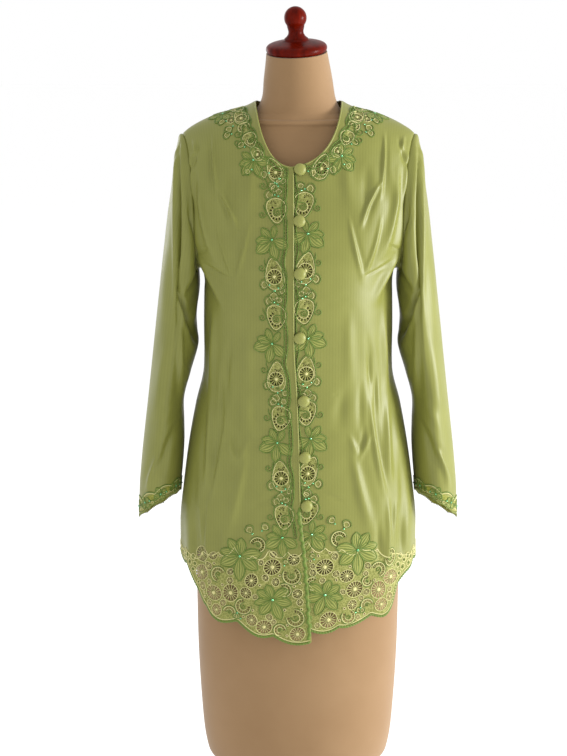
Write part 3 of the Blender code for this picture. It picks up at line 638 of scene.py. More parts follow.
def back_sheet():
    """The back: rows from neck and shoulders down, columns from right to left. Its hem is a shallow arc."""
    yoke_rows, skirt_rows, columns = BACK_GRID
    fine = np.linspace(-1, 1, columns + 1)
    top_x = fine * SHOULDER_TIP_X
    neck_share = np.clip(np.abs(top_x) / NECK_POINT_X, 0, 1)
    neck_z = NECK_BACK_Z + (NECK_POINT_Z - NECK_BACK_Z) * neck_share**2
    top_z = np.where(neck_share < 1, neck_z, shoulder(np.abs(top_x), "z"))
    last = armhole_edge(np.linspace(0, 1, yoke_rows + 1) ** 1.15, 1)
    yoke = coons(pairs(angle_of(top_x, top_z), top_z), pairs(fine * 90, ARMHOLE_BOTTOM), last * (-1, 1), last)
    bottom = BACK_HEM_Z - BACK_HEM_DROP * (1 - np.abs(fine) ** 2)
    share = np.linspace(0, 1, skirt_rows + 1)[1:, None]
    sheet = np.concatenate([yoke, pairs(fine * 90, ARMHOLE_BOTTOM + (bottom - ARMHOLE_BOTTOM) * share)])
    points = push_folds(body_surface(sheet[..., 0], sheet[..., 1], 1), sheet[..., 0], BACK_FOLDS)
    x, z = points[..., 0], points[..., 2]
    push = BACK_CREASE_GAIN * crease_push(x, z, BACK_CREASES) + ripple(x, z, seed=5, cell=70, height=1.2)
    length = lengths_along(points)
    to_side = np.minimum(length, length[:, -1:] - length)
    down = lengths_down(points)
    at_shoulder = np.abs(x) > NECK_POINT_X
    seam = np.maximum(bell(to_side, SEAM_WIDTH) * (z > SLIT_TOP), bell(down, SEAM_WIDTH) * at_shoulder)
    push = push * fade(to_side, 0, 30) * fade(down, 0, 25) - SEAM_DEPTH * seam
    return Sheet(points + grid_normals(points) * push[..., None])


def sleeve_sheet(side):
    """A sleeve: rings round the arm, cubic from section to section. It starts tucked under the armhole."""
    rows, columns = SLEEVE_GRID
    turn = all_round(columns)
    down, up = armhole_edge(turn / math.pi, -1), armhole_edge(2 - turn / math.pi, 1)
    front, back = body_surface(down[:, 0], down[:, 1], -1), body_surface(up[:, 0], up[:, 1], 1)
    loop = np.where((turn <= math.pi)[:, None], front, back)
    rings = [loop - (1.2, 0, 0.4), loop + (1.6, 0, -0.2)]
    for row in SLEEVE_SECTIONS:
        section = dict(zip(SLEEVE_COLUMNS, row))
        outer = np.array([section["outer_x"], section["centre_y"], section["outer_z"]])
        inner = np.array([section["inner_x"], section["centre_y"], section["inner_z"]])
        across = rounded_sine(np.cos(turn), section["roundness"])
        ring = (outer + inner) / 2 + across[:, None] * (outer - inner) / 2
        ring[:, 1] -= section["half_depth"] * np.sin(turn)
        ring[:, 2] += section["front_rise"] * np.sin(turn)
        rings.append(ring)
    rings[-1][:, 2] += CUFF_SCALLOP_DEPTH * np.abs(np.sin(turn * CUFF_SCALLOPS / 2))
    rings = np.array(rings)
    gaps = np.linalg.norm(np.diff(rings, axis=0), axis=-1).mean(axis=1)
    known = np.concatenate([[0], np.cumsum(gaps)])
    at = np.linspace(0, 1, rows + 1) * known[-1]
    slopes = np.gradient(rings, known, axis=0)
    i = np.clip(np.searchsorted(known, at) - 1, 0, len(known) - 2)
    step = (known[i + 1] - known[i])[:, None, None]
    points = cubic(rings, slopes, i, step, (at - known[i])[:, None, None] / step)
    x, z = points[..., 0], points[..., 2]
    facing = -np.sin(turn)[None, :]
    shift = 0 if side > 0 else CREASE_SHIFT
    push = crease_push(x, z, SLEEVE_FRONT_CREASES, shift) * fade(-facing, 0.0, 0.45)
    push += crease_push(x, z, SLEEVE_BACK_CREASES, shift) * fade(facing, 0.0, 0.45)
    gather = np.cos(turn * GATHERS) * fade(np.cos(turn), 0.72, 0.96)
    push += gather * GATHER_HEIGHT * bell(at - 16, 13)[:, None]
    push += SLEEVE_HEAD_SWELL * fade(np.cos(turn), 0.5, 1.0) * bell(at - 14, 12)[:, None]
    push += ripple(x, z, seed=6 if side > 0 else 7, cell=55, height=1.0)
    push *= fade(at, 2, 30)[:, None]
    points = points + grid_normals(points, True) * push[..., None]
    return Sheet(points * (side, 1, 1), wrap=True)


# ----------------------------------------------------------------------------------------------------- meshes
def grid_faces(rows, columns, wrap=False, wrap_rows=False):
    """Quads over a grid numbered row by row. wrap joins the last column to the first, wrap_rows the rows."""
    number = np.arange(rows * columns).reshape(rows, columns)
    if wrap:
        number = np.concatenate([number, number[:, :1]], axis=1)
    if wrap_rows:
        number = np.concatenate([number, number[:1]])
    quads = np.stack([number[:-1, :-1], number[1:, :-1], number[1:, 1:], number[:-1, 1:]], axis=-1)
    return quads.reshape(-1, 4)


def turned_out(points, faces, outwards):
    """Faces whose order makes their normals agree with the directions given at the points."""
    a, b, c = points[faces[:, 0]], points[faces[:, 1]], points[faces[:, -1]]
    agree = (np.cross(b - a, c - a) * outwards[faces[:, 0]]).sum()
    return faces if agree > 0 else faces[:, ::-1]


def add_mesh(name, points, faces, materials, uv=None, face_material=None, smooth_shade=True):
    """An object at the origin from points in mm and arrays of triangles or quads. uv is a pair a point."""
    mesh = bpy.data.meshes.new(name)
    mesh.vertices.add(len(points))
    mesh.vertices.foreach_set("co", (points * MM).astype(np.float32).ravel())
    size = faces.shape[1]
    mesh.loops.add(faces.size)
    mesh.loops.foreach_set("vertex_index", faces.astype(np.int32).ravel())
    mesh.polygons.add(len(faces))
    mesh.polygons.foreach_set("loop_start", np.arange(len(faces), dtype=np.int32) * size)
    mesh.polygons.foreach_set("loop_total", np.full(len(faces), size, np.int32))
    for material in materials:
        mesh.materials.append(material)
    if face_material is not None:
        mesh.polygons.foreach_set("material_index", face_material.astype(np.int32))
    if uv is not None:
        layer = mesh.uv_layers.new(name="cloth")
        layer.data.foreach_set("uv", uv[faces.ravel()].astype(np.float32).ravel())
    mesh.update(calc_edges=True)
    mesh.validate()
    if smooth_shade:
        mesh.shade_smooth()
    made = bpy.data.objects.new(name, mesh)
    bpy.context.scene.collection.objects.link(made)
    return made


class Heap:
    """Many small parts gathered into one mesh."""

    def __init__(self):
        self.points, self.faces, self.uv, self.count = [], [], [], 0

    def add(self, points, faces, uv):
        self.points.append(points)
        self.faces.append(faces + self.count)
        self.uv.append(uv)
        self.count += len(points)

    def cord(self, *path, **shape):
        self.add(*cord(*path, **shape))

    def dome(self, *place, **shape):
        self.add(*dome(*place, **shape))

    def make(self, name, material, smooth_shade=True):
        return add_mesh(name, np.concatenate(self.points), np.concatenate(self.faces), [material],
                        np.concatenate(self.uv), smooth_shade=smooth_shade)


def give_wall(made):
    """A wall inside the surface."""
    wall = made.modifiers.new("Wall", "SOLIDIFY")
    wall.thickness = VISUAL_CLOTH * MM
    wall.offset = -1


def cord(sheet, path, width, height, closed=False, sides=5, lift=0.0, tapered=True):
    """(points, faces, uv) of cords along places on a sheet, given as one path or as an array of paths. A
    cord's section is the upper half of an ellipse on a flat underside; width and height may change along it.
    An open cord narrows to a point at both ends. uv is the length along it in mm and the share across it."""
    paths = path if path.ndim == 3 else path[None]
    number, steps = paths.shape[:2]
    spots, normals = sheet.at(paths), sheet.out(paths)
    if closed:
        tangent = np.roll(spots, -1, axis=1) - np.roll(spots, 1, axis=1)
    else:
        tangent = np.gradient(spots, axis=1)
    side = unit(np.cross(normals, unit(tangent)))
    share = np.linspace(0, 1, steps)
    ends = np.ones(steps)
    if tapered and not closed:
        ends = np.clip(np.minimum(share, 1 - share) * steps / 2, 0.02, 1)
    turn = np.linspace(0, math.pi, sides)
    wide = (np.broadcast_to(width, steps) * ends / 2)[:, None, None]
    high = (np.broadcast_to(height, steps) * ends)[:, None, None]
    points = (spots[:, :, None] + side[:, :, None] * np.cos(turn)[:, None] * wide
              + normals[:, :, None] * (np.sin(turn)[:, None] * high + lift))
    faces = grid_faces(steps, sides, wrap=True, wrap_rows=closed)
    along = lengths_along(spots)
    uv = pairs(along[..., None], np.linspace(0, 1, sides))
    flat = points.reshape(-1, 3)
    outwards = (normals[:, :, None] * np.sin(turn)[:, None]).reshape(-1, 3)
    faces = turned_out(flat, faces, outwards)
    faces = (faces[None] + (np.arange(number) * steps * sides)[:, None, None]).reshape(-1, 4)
    return flat, faces, uv.reshape(-1, 2)


def ring_of(segments):
    """Points round a circle of radius 1."""
    turn = all_round(segments)
    return pairs(np.cos(turn), np.sin(turn))


def closed_rings(points, rings, segments, outwards, up):
    """Faces over rings of points, numbered ring by ring and closed at both ends. The last one faces up."""
    caps = np.array([[0, i, i + 1, i + 2] for i in range(1, segments - 2, 2)])
    up = np.broadcast_to(up, points.shape)
    return np.concatenate([
        turned_out(points, grid_faces(rings, segments, wrap=True), outwards),
        turned_out(points, caps + (rings - 1) * segments, up),
        turned_out(points, caps, -up),
    ])


def dome(sheet, place, radius, height, lift, rings=3, segments=8):
    """(points, faces, uv) of a round dome on a sheet: radius * cos(t) out and height * sin(t) up."""
    centre, normal = sheet.at(place, lift), sheet.out(place)
    right = unit(np.cross((0.0, 0.3, 1.0), normal))
    up = np.cross(normal, right)
    rise = np.linspace(-0.12, math.pi / 2 - 0.02, rings)
    flat = np.cos(rise)[:, None, None] * ring_of(segments) * radius
    points = (centre + flat[..., :1] * right + flat[..., 1:] * up
              + (np.sin(rise) * height)[:, None, None] * normal).reshape(-1, 3)
    faces = closed_rings(points, rings, segments, points - centre + normal * 0.01, normal)
    return points, faces, pairs(np.arange(segments)[None, :] * 1.0, rise[:, None]).reshape(-1, 2)


# ------------------------------------------------------------------------------------- embroidery, drawn flat
def spiral(radius, turns=1.5, tail=6.0, start=90.0, hand=1, points=34):
    """A tendril: a short bent tail that runs into a spiral, whose radius shrinks by 0.88 t^0.8."""
    t = np.linspace(0, 1, points)
    turn = math.radians(start) + hand * t * turns * 2 * math.pi
    r = radius * (1 - 0.88 * t**0.8)
    curl = pairs(r * np.cos(turn), r * np.sin(turn))
    first = curl[0]
    heading = unit(curl[0] - curl[1])
    run = np.linspace(1, 0, 6)[:-1, None]
    return np.concatenate([first + heading * run * tail + run**2 * tail * 0.35 * unit(first), curl])


def leaf(length, width, turn, bend=0.0, points=26, root=1.5, full=0.85):
    """(outline, spine, half widths) of a petal: half its width is sin(pi t^full) to the power 0.72, round a
    spine that bends as t squared. A larger full widens it towards its tip. The turn is clockwise from up."""
    t = np.linspace(0, 1, points // 2)
    half = width / 2 * np.clip(np.sin(np.pi * t**full), 0, 1) ** 0.72
    spine = pairs(bend * t**2 * length, root + t * length)
    side = pairs(half, 0.0)
    outline = np.concatenate([spine + side, (spine - side)[-2:0:-1]])
    c, s = math.cos(math.radians(turn)), math.sin(math.radians(turn))
    spin = np.array([[c, -s], [s, c]])
    return outline @ spin, spine @ spin, half


def circle(radius, centre=(0.0, 0.0), points=16, start=0.0, end=360.0):
    """A circle, or an arc of one from start to end in degrees."""
    turn = np.radians(np.linspace(start, end, points, endpoint=abs(end - start) < 359))
    return pairs(radius * np.cos(turn) + centre[0], radius * np.sin(turn) + centre[1])


def squashed(turn, uneven):
    """How far a wheel reaches at each turn: 1 - uneven (1 + sin(2 turn + 1.3)) / 2, a little oval."""
    return 1 - uneven * (0.5 + 0.5 * np.sin(2 * turn + 1.3))


def slots(inner, outer, count, start=0.0, end=360.0, open_share=0.5, centre=(0.0, 0.0), uneven=0.0):
    """Radial slots between two radii, each a hexagon with a rounded outer end."""
    whole = abs(end - start) > 359
    turn = np.radians(np.linspace(start, end, count, endpoint=not whole))
    pitch = np.radians(abs(end - start)) / (count if whole else max(count - 1, 1))
    half = pitch * open_share / 2
    radii = np.array([inner, outer * 0.9, outer, outer, outer * 0.9, inner])
    offsets = np.array([-0.55, -1.0, -0.45, 0.45, 1.0, 0.55]) * half
    turns = turn[:, None] + offsets
    radii = radii * squashed(turn, uneven)[:, None]
    return pairs(radii * np.cos(turns) + centre[0], radii * np.sin(turns) + centre[1])


FLOWER_COLUMNS = ("turn", "length", "width", "bend")
SIDE_FLOWER = ((-30, 0.66, 0.32, 0.08), (32, 0.74, 0.38, -0.08), (76, 0.76, 0.44, 0.05),
               (117, 0.94, 0.62, -0.05), (174, 1.0, 0.48, 0.04), (-132, 0.84, 0.56, 0.05))
FULL_FLOWER = ((-8, 0.74, 0.44, 0.06), (38, 0.82, 0.44, -0.06), (76, 0.88, 0.40, 0.05),
               (118, 0.92, 0.54, -0.04), (176, 1.05, 0.50, 0.03), (-128, 0.90, 0.52, 0.04),
               (-78, 0.90, 0.50, -0.05))
CUFF_FLOWER = ((-38, 0.62, 0.52, 0.05), (48, 0.74, 0.56, -0.05), (132, 0.70, 0.56, 0.04),
               (-138, 0.62, 0.50, 0.0))
WHEEL_OVAL = 0.14


class Embroidery:
    """Everything embroidered on one sheet: green cords, pale cords, petals, stones, and the slots that are
    cut. taken keeps where the motifs are, as points and radii in mm."""

    def __init__(self, sheet):
        self.sheet = sheet
        self.green, self.pale, self.petals, self.stones = Heap(), Heap(), Heap(), Heap()
        self.cuts, self.grounds, self.taken = [], [], []

    def line(self, at, drawing, width, height, closed=False, pale=False):
        """A cord along a flat drawing."""
        heap = self.pale if pale else self.green
        heap.cord(self.sheet, at.lay(drawing), width, height, closed, sides=4, lift=STITCH_LIFT)

    def take(self, spots, radius):
        """Marks the cloth round these spots as taken."""
        spots = np.reshape(spots, (-1, 3))
        self.taken.append(np.column_stack([spots, np.full(len(spots), radius)]))

    def petal(self, at, length, width, turn, bend):
        """A padded petal with a stitched outline and a middle vein."""
        outline, spine, half = leaf(length, width, turn, bend, full=1.15)
        wide = np.maximum(half * 2 * at.size, 0.1)
        places = at.lay(spine)
        self.petals.cord(self.sheet, places, wide, 0.7 + 0 * wide, sides=9, tapered=False)
        self.line(at, outline, 1.7, 1.25, closed=True)
        self.line(at, spine[:-3], 0.8, 1.15)
        self.take(self.sheet.at(places[::3]), float(wide.max()) * 0.42)
        self.take(self.sheet.at(at.lay(outline[::3])), 1.0)

    def flower(self, at, length, petals, stone=1.9):
        """Petals round a stone, from a table of their shares of the length."""
        for row in petals:
            petal = dict(zip(FLOWER_COLUMNS, row))
            long, wide = length * petal["length"], length * petal["width"]
            self.petal(at, long, wide, petal["turn"], petal["bend"])
        self.stone(at, stone)

    def heart(self, at, size):
        """A rounded petal, with a pale line inside its outline and a stone at its root."""
        outline = leaf(size, size * 1.15, 0, full=1.2, root=2.0)[0]
        self.line(at, outline, 1.5, 1.2, closed=True)
        inner = leaf(size * 0.66, size * 0.7, 0, full=1.2, root=3.0)[0]
        self.line(at, inner, 1.0, 0.8, closed=True, pale=True)
        self.stone(at, 1.5)
        self.take(self.sheet.at(at.lay(np.array([(0, size / 2)]))), size / 2)

    def stone(self, at, radius):
        self.stones.dome(self.sheet, at.lay(np.array([(0, 0)]))[0], radius, radius * 0.75, 1.0)

    def cut(self, at, polygons):
        self.cuts += list(at.lay(polygons))

    def ground(self, at, outline):
        self.grounds.append(at.lay(outline))

    def bars(self, at, inner, outer, turns):
        """Pale bars laid radially at these turns, in degrees."""
        turns = np.radians(turns)
        run = np.linspace(inner, outer, 4)
        paths = pairs(run * np.cos(turns)[:, None], run * np.sin(turns)[:, None])
        self.pale.cord(self.sheet, at.lay(paths), 1.2, 0.6, sides=3, lift=STITCH_LIFT)

    def wheel(self, at, radius, count, grounded=False):
        """A cutwork wheel, a little oval: slots, a thread on each bar between them, a pale rim and a knot."""
        if grounded:
            self.ground(at, circle(radius + 2.4, points=24))
        self.cut(at, slots(radius * 0.3, radius, count, open_share=0.6, uneven=WHEEL_OVAL))
        rim = (radius + 0.7) * squashed(all_round(26), WHEEL_OVAL)
        self.line(at, rim[:, None] * ring_of(26), 1.0, 0.9, closed=True, pale=True)
        self.bars(at, radius * 0.2, radius * 0.9, (np.arange(count) + 0.5) * 360 / count)
        self.pale.dome(self.sheet, at.place, radius * 0.24, 1.0, 0.1)

    def scroll_cut(self, at, radius, start=-60.0, end=200.0, grounded=False):
        """A scroll: a spiral in the middle of an arc of radial slots, edged with a pale and a green cord."""
        if grounded:
            self.ground(at, circle(radius + 2.4, points=24))
        count = max(int(radius * 1.1), 5)
        self.cut(at, slots(radius * 0.6, radius, count, start, end))
        self.line(at, spiral(radius * 0.5, 1.25, 3.0, start), 1.4, 1.1)
        self.line(at, circle(radius * 0.56, points=16, start=start, end=end), 1.1, 0.8, pale=True)
        self.line(at, circle(radius + 0.9, points=22, start=start - 12, end=end + 12), 1.5, 0.9, pale=True)
        self.line(at, circle(radius + 2.3, points=22, start=start - 20, end=end + 20), 1.3, 1.1)

    def tendril(self, at, radius, hand=1, start=150.0, tail=9.0):
        self.line(at, spiral(radius, 1.4, tail, start, hand), 1.7, 1.1)

    def edged(self, at, outline, green_size, pale_size):
        """A worked ground inside a green cord and, further in, a pale one."""
        self.ground(at, outline * 1.02)
        self.line(at, outline * green_size, 1.6, 1.2, closed=True)
        self.line(at, outline * pale_size, 1.1, 0.9, closed=True, pale=True)

    def drop(self, at, length=42.0, width=24.0):
        """A hanging cutwork drop: a fan, a wheel and a scroll, inside a pale and a green outline."""
        t = all_round(44)
        across = width / 2 * np.sin(t) * (1 - 0.34 * np.cos(t))
        self.edged(at, pairs(across, length / 2 * np.cos(t)), 1.08, 0.95)
        fan, wheel, low = (-1.0, length * 0.27), (0.6, -length * 0.08), (-1.5, -length * 0.36)
        self.cut(at, slots(1.9, 5.2, 5, 190, 330, centre=fan))
        self.cut(at, slots(3.2, 9.0, 13, centre=wheel, open_share=0.52))
        self.line(at, circle(9.8, wheel, 22), 1.2, 0.9, closed=True, pale=True)
        self.line(at, spiral(3.2, 1.2, 4.0, 60) + np.array(low), 1.4, 1.0)
        self.pale.dome(self.sheet, at.lay(np.array([wheel]))[0], 2.6, 1.0, 0.1)

    def paisley(self, at, length=34.0, width=25.0):
        """A curled cutwork leaf: a spiral in its body inside an arc of slots, and a small fan in its head."""
        t = all_round(40)
        across = width / 2 * np.sin(t) * (1 + 0.25 * np.cos(t)) + 2.5 * np.cos(t) ** 2 - 1.0
        self.edged(at, pairs(across, length / 2 * np.cos(t)), 1.09, 0.94)
        head, heart = (2.0, length * 0.3), (-0.5, -length * 0.08)
        self.cut(at, slots(7.0, 10.2, 9, -150, 60, centre=heart))
        self.cut(at, slots(1.4, 3.8, 5, 20, 200, centre=head))
        self.line(at, spiral(5.6, 1.6, 8.0, 120, -1) + np.array(heart), 1.6, 1.1)
        self.line(at, circle(6.4, heart, 16, -160, 70), 1.2, 0.9, pale=True)

    def braid(self, path, half=2.5, pitch=4.6):
        """A ladder of worked eyelets between two green cords, along places on the sheet."""
        fine, at = even_places(self.sheet, path, 1.6)
        spots, side = self.sheet.at(fine), sideways(self.sheet, fine)
        for edge in (-half, half):
            places = self.sheet.locate(spots + side * edge, fine)
            self.green.cord(self.sheet, places, 2.0, 1.1, sides=4, lift=STITCH_LIFT)
        steps = np.linspace(0, len(fine) - 1, max(int(at[-1] / pitch), 2)).astype(int)
        ring = ring_of(8)[None]
        forward = unit(np.gradient(spots, axis=0))[steps][:, None]
        loops = spots[steps][:, None] + 1.5 * (ring[..., :1] * side[steps][:, None] + ring[..., 1:] * forward)
        places = self.sheet.locate(loops, fine[steps][:, None])
        self.green.cord(self.sheet, places, 0.9, 0.8, True, sides=3, lift=STITCH_LIFT)
        self.take(spots[::3], half + 1.0)

    def make_pieces(self, names, cloths):
        """The four heaps as pieces: green and pale stitching, petals and stones."""
        heaps = (self.green, self.pale, self.petals, self.stones)
        rows = zip(heaps, names, ("green", "pale", "petal", "stone"))
        return [heap.make(name, cloths[cloth], cloth != "stone") for heap, name, cloth in rows]


def even_places(sheet, path, spacing, least=2):
    """(places, running lengths in mm) about spacing mm apart along a path of places."""
    along = lengths_along(sheet.at(path))
    at = np.linspace(0, along[-1], max(int(along[-1] / spacing), least))
    return pairs(np.interp(at, along, path[:, 0]), np.interp(at, along, path[:, 1])), at


def sideways(sheet, places):
    """Unit directions that lie in the sheet and across a path of places."""
    return unit(np.cross(sheet.out(places), np.gradient(sheet.at(places), axis=0)))


def border_frame(sheet, row, away, turn=0.0, size=1.0):
    """A drawing frame on a front's border, away mm from the front's edge. Its right is away from the edge."""
    return across_frame(sheet, np.array([row, away / NEAR_STEP]), turn, size)


def place_in_front(sheet, x, z, side=1):
    """The place on a front that is seen at (x, z) from the front, on the side's own half."""
    spot = body_surface(angle_of(np.array(x), np.array(z)), np.array(float(z)), -1)
    return sheet.nearest(spot * (side, 1, 1))


def world_frame(sheet, x, z, side, turn=0.0, size=1.0):
    """A drawing frame at a place given as seen from the front, with its right away from the opening."""
    return Frame(sheet, place_in_front(sheet, x, z, side), np.array([float(side), 0.0, 0.0]), turn, size)


# The first flower height is above the border, so that only the motifs below it are laid.
FLOWER_HEIGHTS = (1349.0, 1196.0, 1043.0, 893.0, 749.0)
BORDER_UNIT = (  # kind, mm down, mm from the inner line, turn, size
    ("flower", 0, 19, 0, 31.0),
    ("tendril", 40, 34, 0, 6.5),
    ("drop", 50, 15, 4, 1.08),
    ("heart", 66, 22, 85, 14.0),
    ("heart", 74, 15, 168, 14.0),
    ("heart", 70, 9, -130, 11.0),
    ("heart", 91, 15, 75, 14.0),
    ("heart", 94, 10, -20, 11.0),
    ("paisley", 113, 13, 0, 1.08),
    ("tendril", 114, 34, 10, 7.0),
)
NECK_UNIT = (  # the same, with mm down from the shoulder's end of the edge
    ("paisley", 14, 10, 20, 0.78),
    ("flower", 19, 33, -25, 23.0),
    ("tendril", 36, 45, 40, 6.5),
    ("drop", 41, 10, 25, 0.86),
    ("wheel", 44, 25, 0, 6.5),
    ("heart", 46, 33, 80, 12.0),
    ("heart", 60, 26, 125, 13.0),
    ("scroll", 64, 11, 20, 8.0),
    ("tendril", 76, 24, 10, 8.5),
    ("heart", 76, 33, 95, 12.0),
    ("paisley", 88, 9, 35, 0.8),
    ("tendril", 92, 30, 30, 8.0),
    ("heart", 101, 22, 60, 12.0),
    ("drop", 112, 9, 40, 0.62),
    ("flower", 124, 20, 30, 27.0),
    ("heart", 143, 36, 110, 10.0),
    ("drop", 152, 10, 15, 0.95),
    ("heart", 158, 24, 95, 13.0),
    ("tendril", 175, 33, 0, 7.0),
    ("heart", 177, 12, 100, 12.0),
    ("heart", 181, 10, -20, 10.0),
)
INNER_COLUMNS = ("down", "away")  # of the braid, in mm along the edge and from it
INNER_LINE = ((0, 22), (60, 14), (110, 10), (150, 14), (185, 17), (1200, 17))
# Over the hem, at (x, height) as seen from the front, then length and turn, size and turn, or radius and ends
HEM_FLOWERS = ((89, 717, 36, 0), (39, 651, 31, 25))
HEM_HEARTS = ((68, 752, 13, 35), (55, 758, 12, -40), (88, 620, 8, 60), (94, 627, 8, 150), (22, 706, 8, -20))
HEM_SCROLLS = ((61, 736, 10.5, 20, 250), (121, 684, 10.5, -70, 150), (20, 668, 9.0, 60, 290),
               (104, 628, 8.5, 20, 200))
# The hem's lace: radii tried, the largest first, and past SIDE_X only plain rings up to SIDE_RADIUS
LACE_RADII = (13.2, 11.8, 10.4, 9.0, 7.6, 6.2, 5.0, 3.9, 2.9)
SIDE_X, SIDE_RADIUS = 147, 6.0
LACE_SEED, LACE_TRIES, LACE_GAP = 21, 6000, 0.4
LACE_HEM_CLEAR, LACE_SIDE_CLEAR, LACE_ROWS_REACHED = 3.6, 2.6, 12
RIGHT_SHIFT = 9.0  # the right front's motifs lie this much lower


def lay_motif(work, at, kind, size):
    """One motif of the tables. A drop's or a paisley's size is the frame's own."""
    if kind == "flower":
        work.flower(at, size, SIDE_FLOWER)
    elif kind == "tendril":
        work.tendril(at, size)
    elif kind == "drop":
        work.drop(at)
    elif kind == "heart":
        work.heart(at, size)
    elif kind == "paisley":
        work.paisley(at)
    elif kind == "wheel":
        work.wheel(at, size, 9, True)
    else:
        work.scroll_cut(at, size, grounded=True)


def fill_lace(work, first_column):
    """Packs the hem's worked zone with wheels and scrolls, the largest first. Each takes the first of a
    seeded crowd of places that clears the edges and all that is there."""
    sheet = work.sheet
    chance = np.random.default_rng(LACE_SEED)
    top = sheet.rows - 1 - LACE_ROWS
    rows = chance.uniform(top + 1, sheet.rows - 2, LACE_TRIES)
    places = pairs(rows, chance.uniform(first_column, sheet.columns - 2, LACE_TRIES))
    spots = sheet.at(places)
    near_side = np.abs(spots[:, 0]) > SIDE_X
    work.take(sheet.points[-1], LACE_HEM_CLEAR)
    work.take(sheet.at(pairs(np.arange(top, sheet.rows - 1.0), first_column)), LACE_SIDE_CLEAR)
    work.take(sheet.points[top:, -1], LACE_SIDE_CLEAR)
    taken = np.concatenate(work.taken)
    step = np.linalg.norm(sheet.at(places + (0.5, 0)) - sheet.at(places - (0.5, 0)), axis=-1)
    clear = (np.linalg.norm(spots[:, None] - taken[None, :, :3], axis=-1) - taken[None, :, 3]).min(axis=1)
    clear = np.minimum(clear, np.where(near_side, SIDE_RADIUS, LACE_ROWS_REACHED * step))
    for radius in LACE_RADII:
        for number in range(len(places)):
            if clear[number] < radius + LACE_GAP:
                continue
            at = Frame(sheet, places[number], np.array([1.0, 0.0, 0.0]), chance.uniform(0, 360))
            if near_side[number]:
                work.line(at, circle(radius - 0.4, points=14), 1.3, 0.9, closed=True, pale=True)
                work.line(at, spiral(radius * 0.5, 1.0, 0.5), 1.0, 0.9)
            elif radius < 3.5:
                work.line(at, circle(1.9, points=9), 1.2, 0.9, closed=True, pale=True)
                work.cut(at, circle(1.3, points=7)[None])
            elif radius > 6.5 and chance.random() < 0.22:
                work.scroll_cut(at, radius - 0.9)
            else:
                work.wheel(at, radius, int(6 + radius * 0.75))
            clear = np.minimum(clear, np.linalg.norm(spots - spots[number], axis=-1) - radius - 0.3)


def work_border(side, sheet):
    """Lays the border motifs round the neck, down the opening and over the hem of a front."""
    work = Embroidery(sheet)
    rows = np.arange(sheet.rows)
    down = lengths_along(sheet.at(pairs(rows, 10.0)))
    extra = 0.0 if side > 0 else -4.0
    inner = read(INNER_LINE, INNER_COLUMNS, down, "away") + extra * fade(down, 110, 160)
    z = sheet.points[:, 10, 2]
    drop = 0.0 if side > 0 else RIGHT_SHIFT
    lace_top = sheet.rows - 1 - LACE_ROWS

    for kind, at_down, away, turn, size in NECK_UNIT:
        row = np.interp(at_down + drop * 0.4, down, rows)
        scale = size if kind in ("drop", "paisley") else 1.0
        at = border_frame(sheet, row, np.interp(row, rows, inner) + away, turn, scale)
        lay_motif(work, at, kind, size)
    for number, height in enumerate(FLOWER_HEIGHTS):
        for kind, below, away, turn, size in BORDER_UNIT:
            level = height - below - drop
            if level > NECK_FRONT_Z - 14 or (level < z[lace_top] + 8 and kind != "flower"):
                continue
            row = np.interp(-level, -z[YOKE_NECK_ROWS:], rows[YOKE_NECK_ROWS:])
            grown = 1.0 + 0.05 * ((number * 3 + int(below)) % 3 - 1)
            scale = size * grown if kind in ("drop", "paisley") else 1.0
            uneven = 5 * ((number + 1) % 3 - 1)
            at = border_frame(sheet, row, np.interp(row, rows, inner) + away, turn + uneven, scale)
            lay_motif(work, at, kind, size * grown)

    bay_rows = np.arange(2, lace_top - 3)
    bay = down[bay_rows]
    pitch = np.where(bay < 150, 27.0, 75.0)
    phase = np.cumsum(np.concatenate([[0], np.diff(bay) / ((pitch[1:] + pitch[:-1]) / 2)]))
    sway = 4.2 * np.abs(np.cos(math.pi * phase)) ** 5 - 1.2
    work.braid(pairs(bay_rows, (inner[bay_rows] + sway) / NEAR_STEP))

    for x, height, length, turn in HEM_FLOWERS:
        work.flower(world_frame(sheet, x, height - drop, side, turn), length, FULL_FLOWER, 2.2)
    for x, height, size, turn in HEM_HEARTS:
        work.heart(world_frame(sheet, x, height - drop, side, turn), size)
    for x, height, radius, start, finish in HEM_SCROLLS:
        at = world_frame(sheet, x, height - drop, side)
        work.scroll_cut(at, radius, start, finish)
        work.take(at.centre, radius + 2.5)
    first = (UNDERLAP if side > 0 else 2.0) / NEAR_STEP + 1.6
    fill_lace(work, first)
    across = np.linspace(first - 1.2, sheet.columns - 2, 90)
    top_line = pairs(lace_top + 4.0 * np.abs(np.sin(across * 0.3)) ** 0.7, across)
    work.grounds.append(np.concatenate([top_line, pairs(sheet.rows - 1.9, across)[::-1]]))
    work.pale.cord(sheet, top_line, 1.5, 0.9, sides=4, lift=STITCH_LIFT)
    return work


def edge_band(work, path, width, height, pitch, picot, sway=0.0):
    """A satin-stitched edge whose width and height swell at every picot. sway is how far it waves, in mm."""
    fine, at = even_places(work.sheet, path, 0.85, 8)
    if sway:
        wave = sway * (np.sin(2 * math.pi * at / 13) + 0.5 * np.sin(2 * math.pi * at / 31 + 1))
        fine = work.sheet.locate(work.sheet.at(fine) + sideways(work.sheet, fine) * wave[:, None], fine)
    swell = 1 + picot * (0.5 + 0.5 * np.cos(2 * math.pi * at / pitch))
    high = height * (0.7 + 0.3 * swell)
    work.green.cord(work.sheet, fine, width * swell, high, lift=-0.3, sides=6)


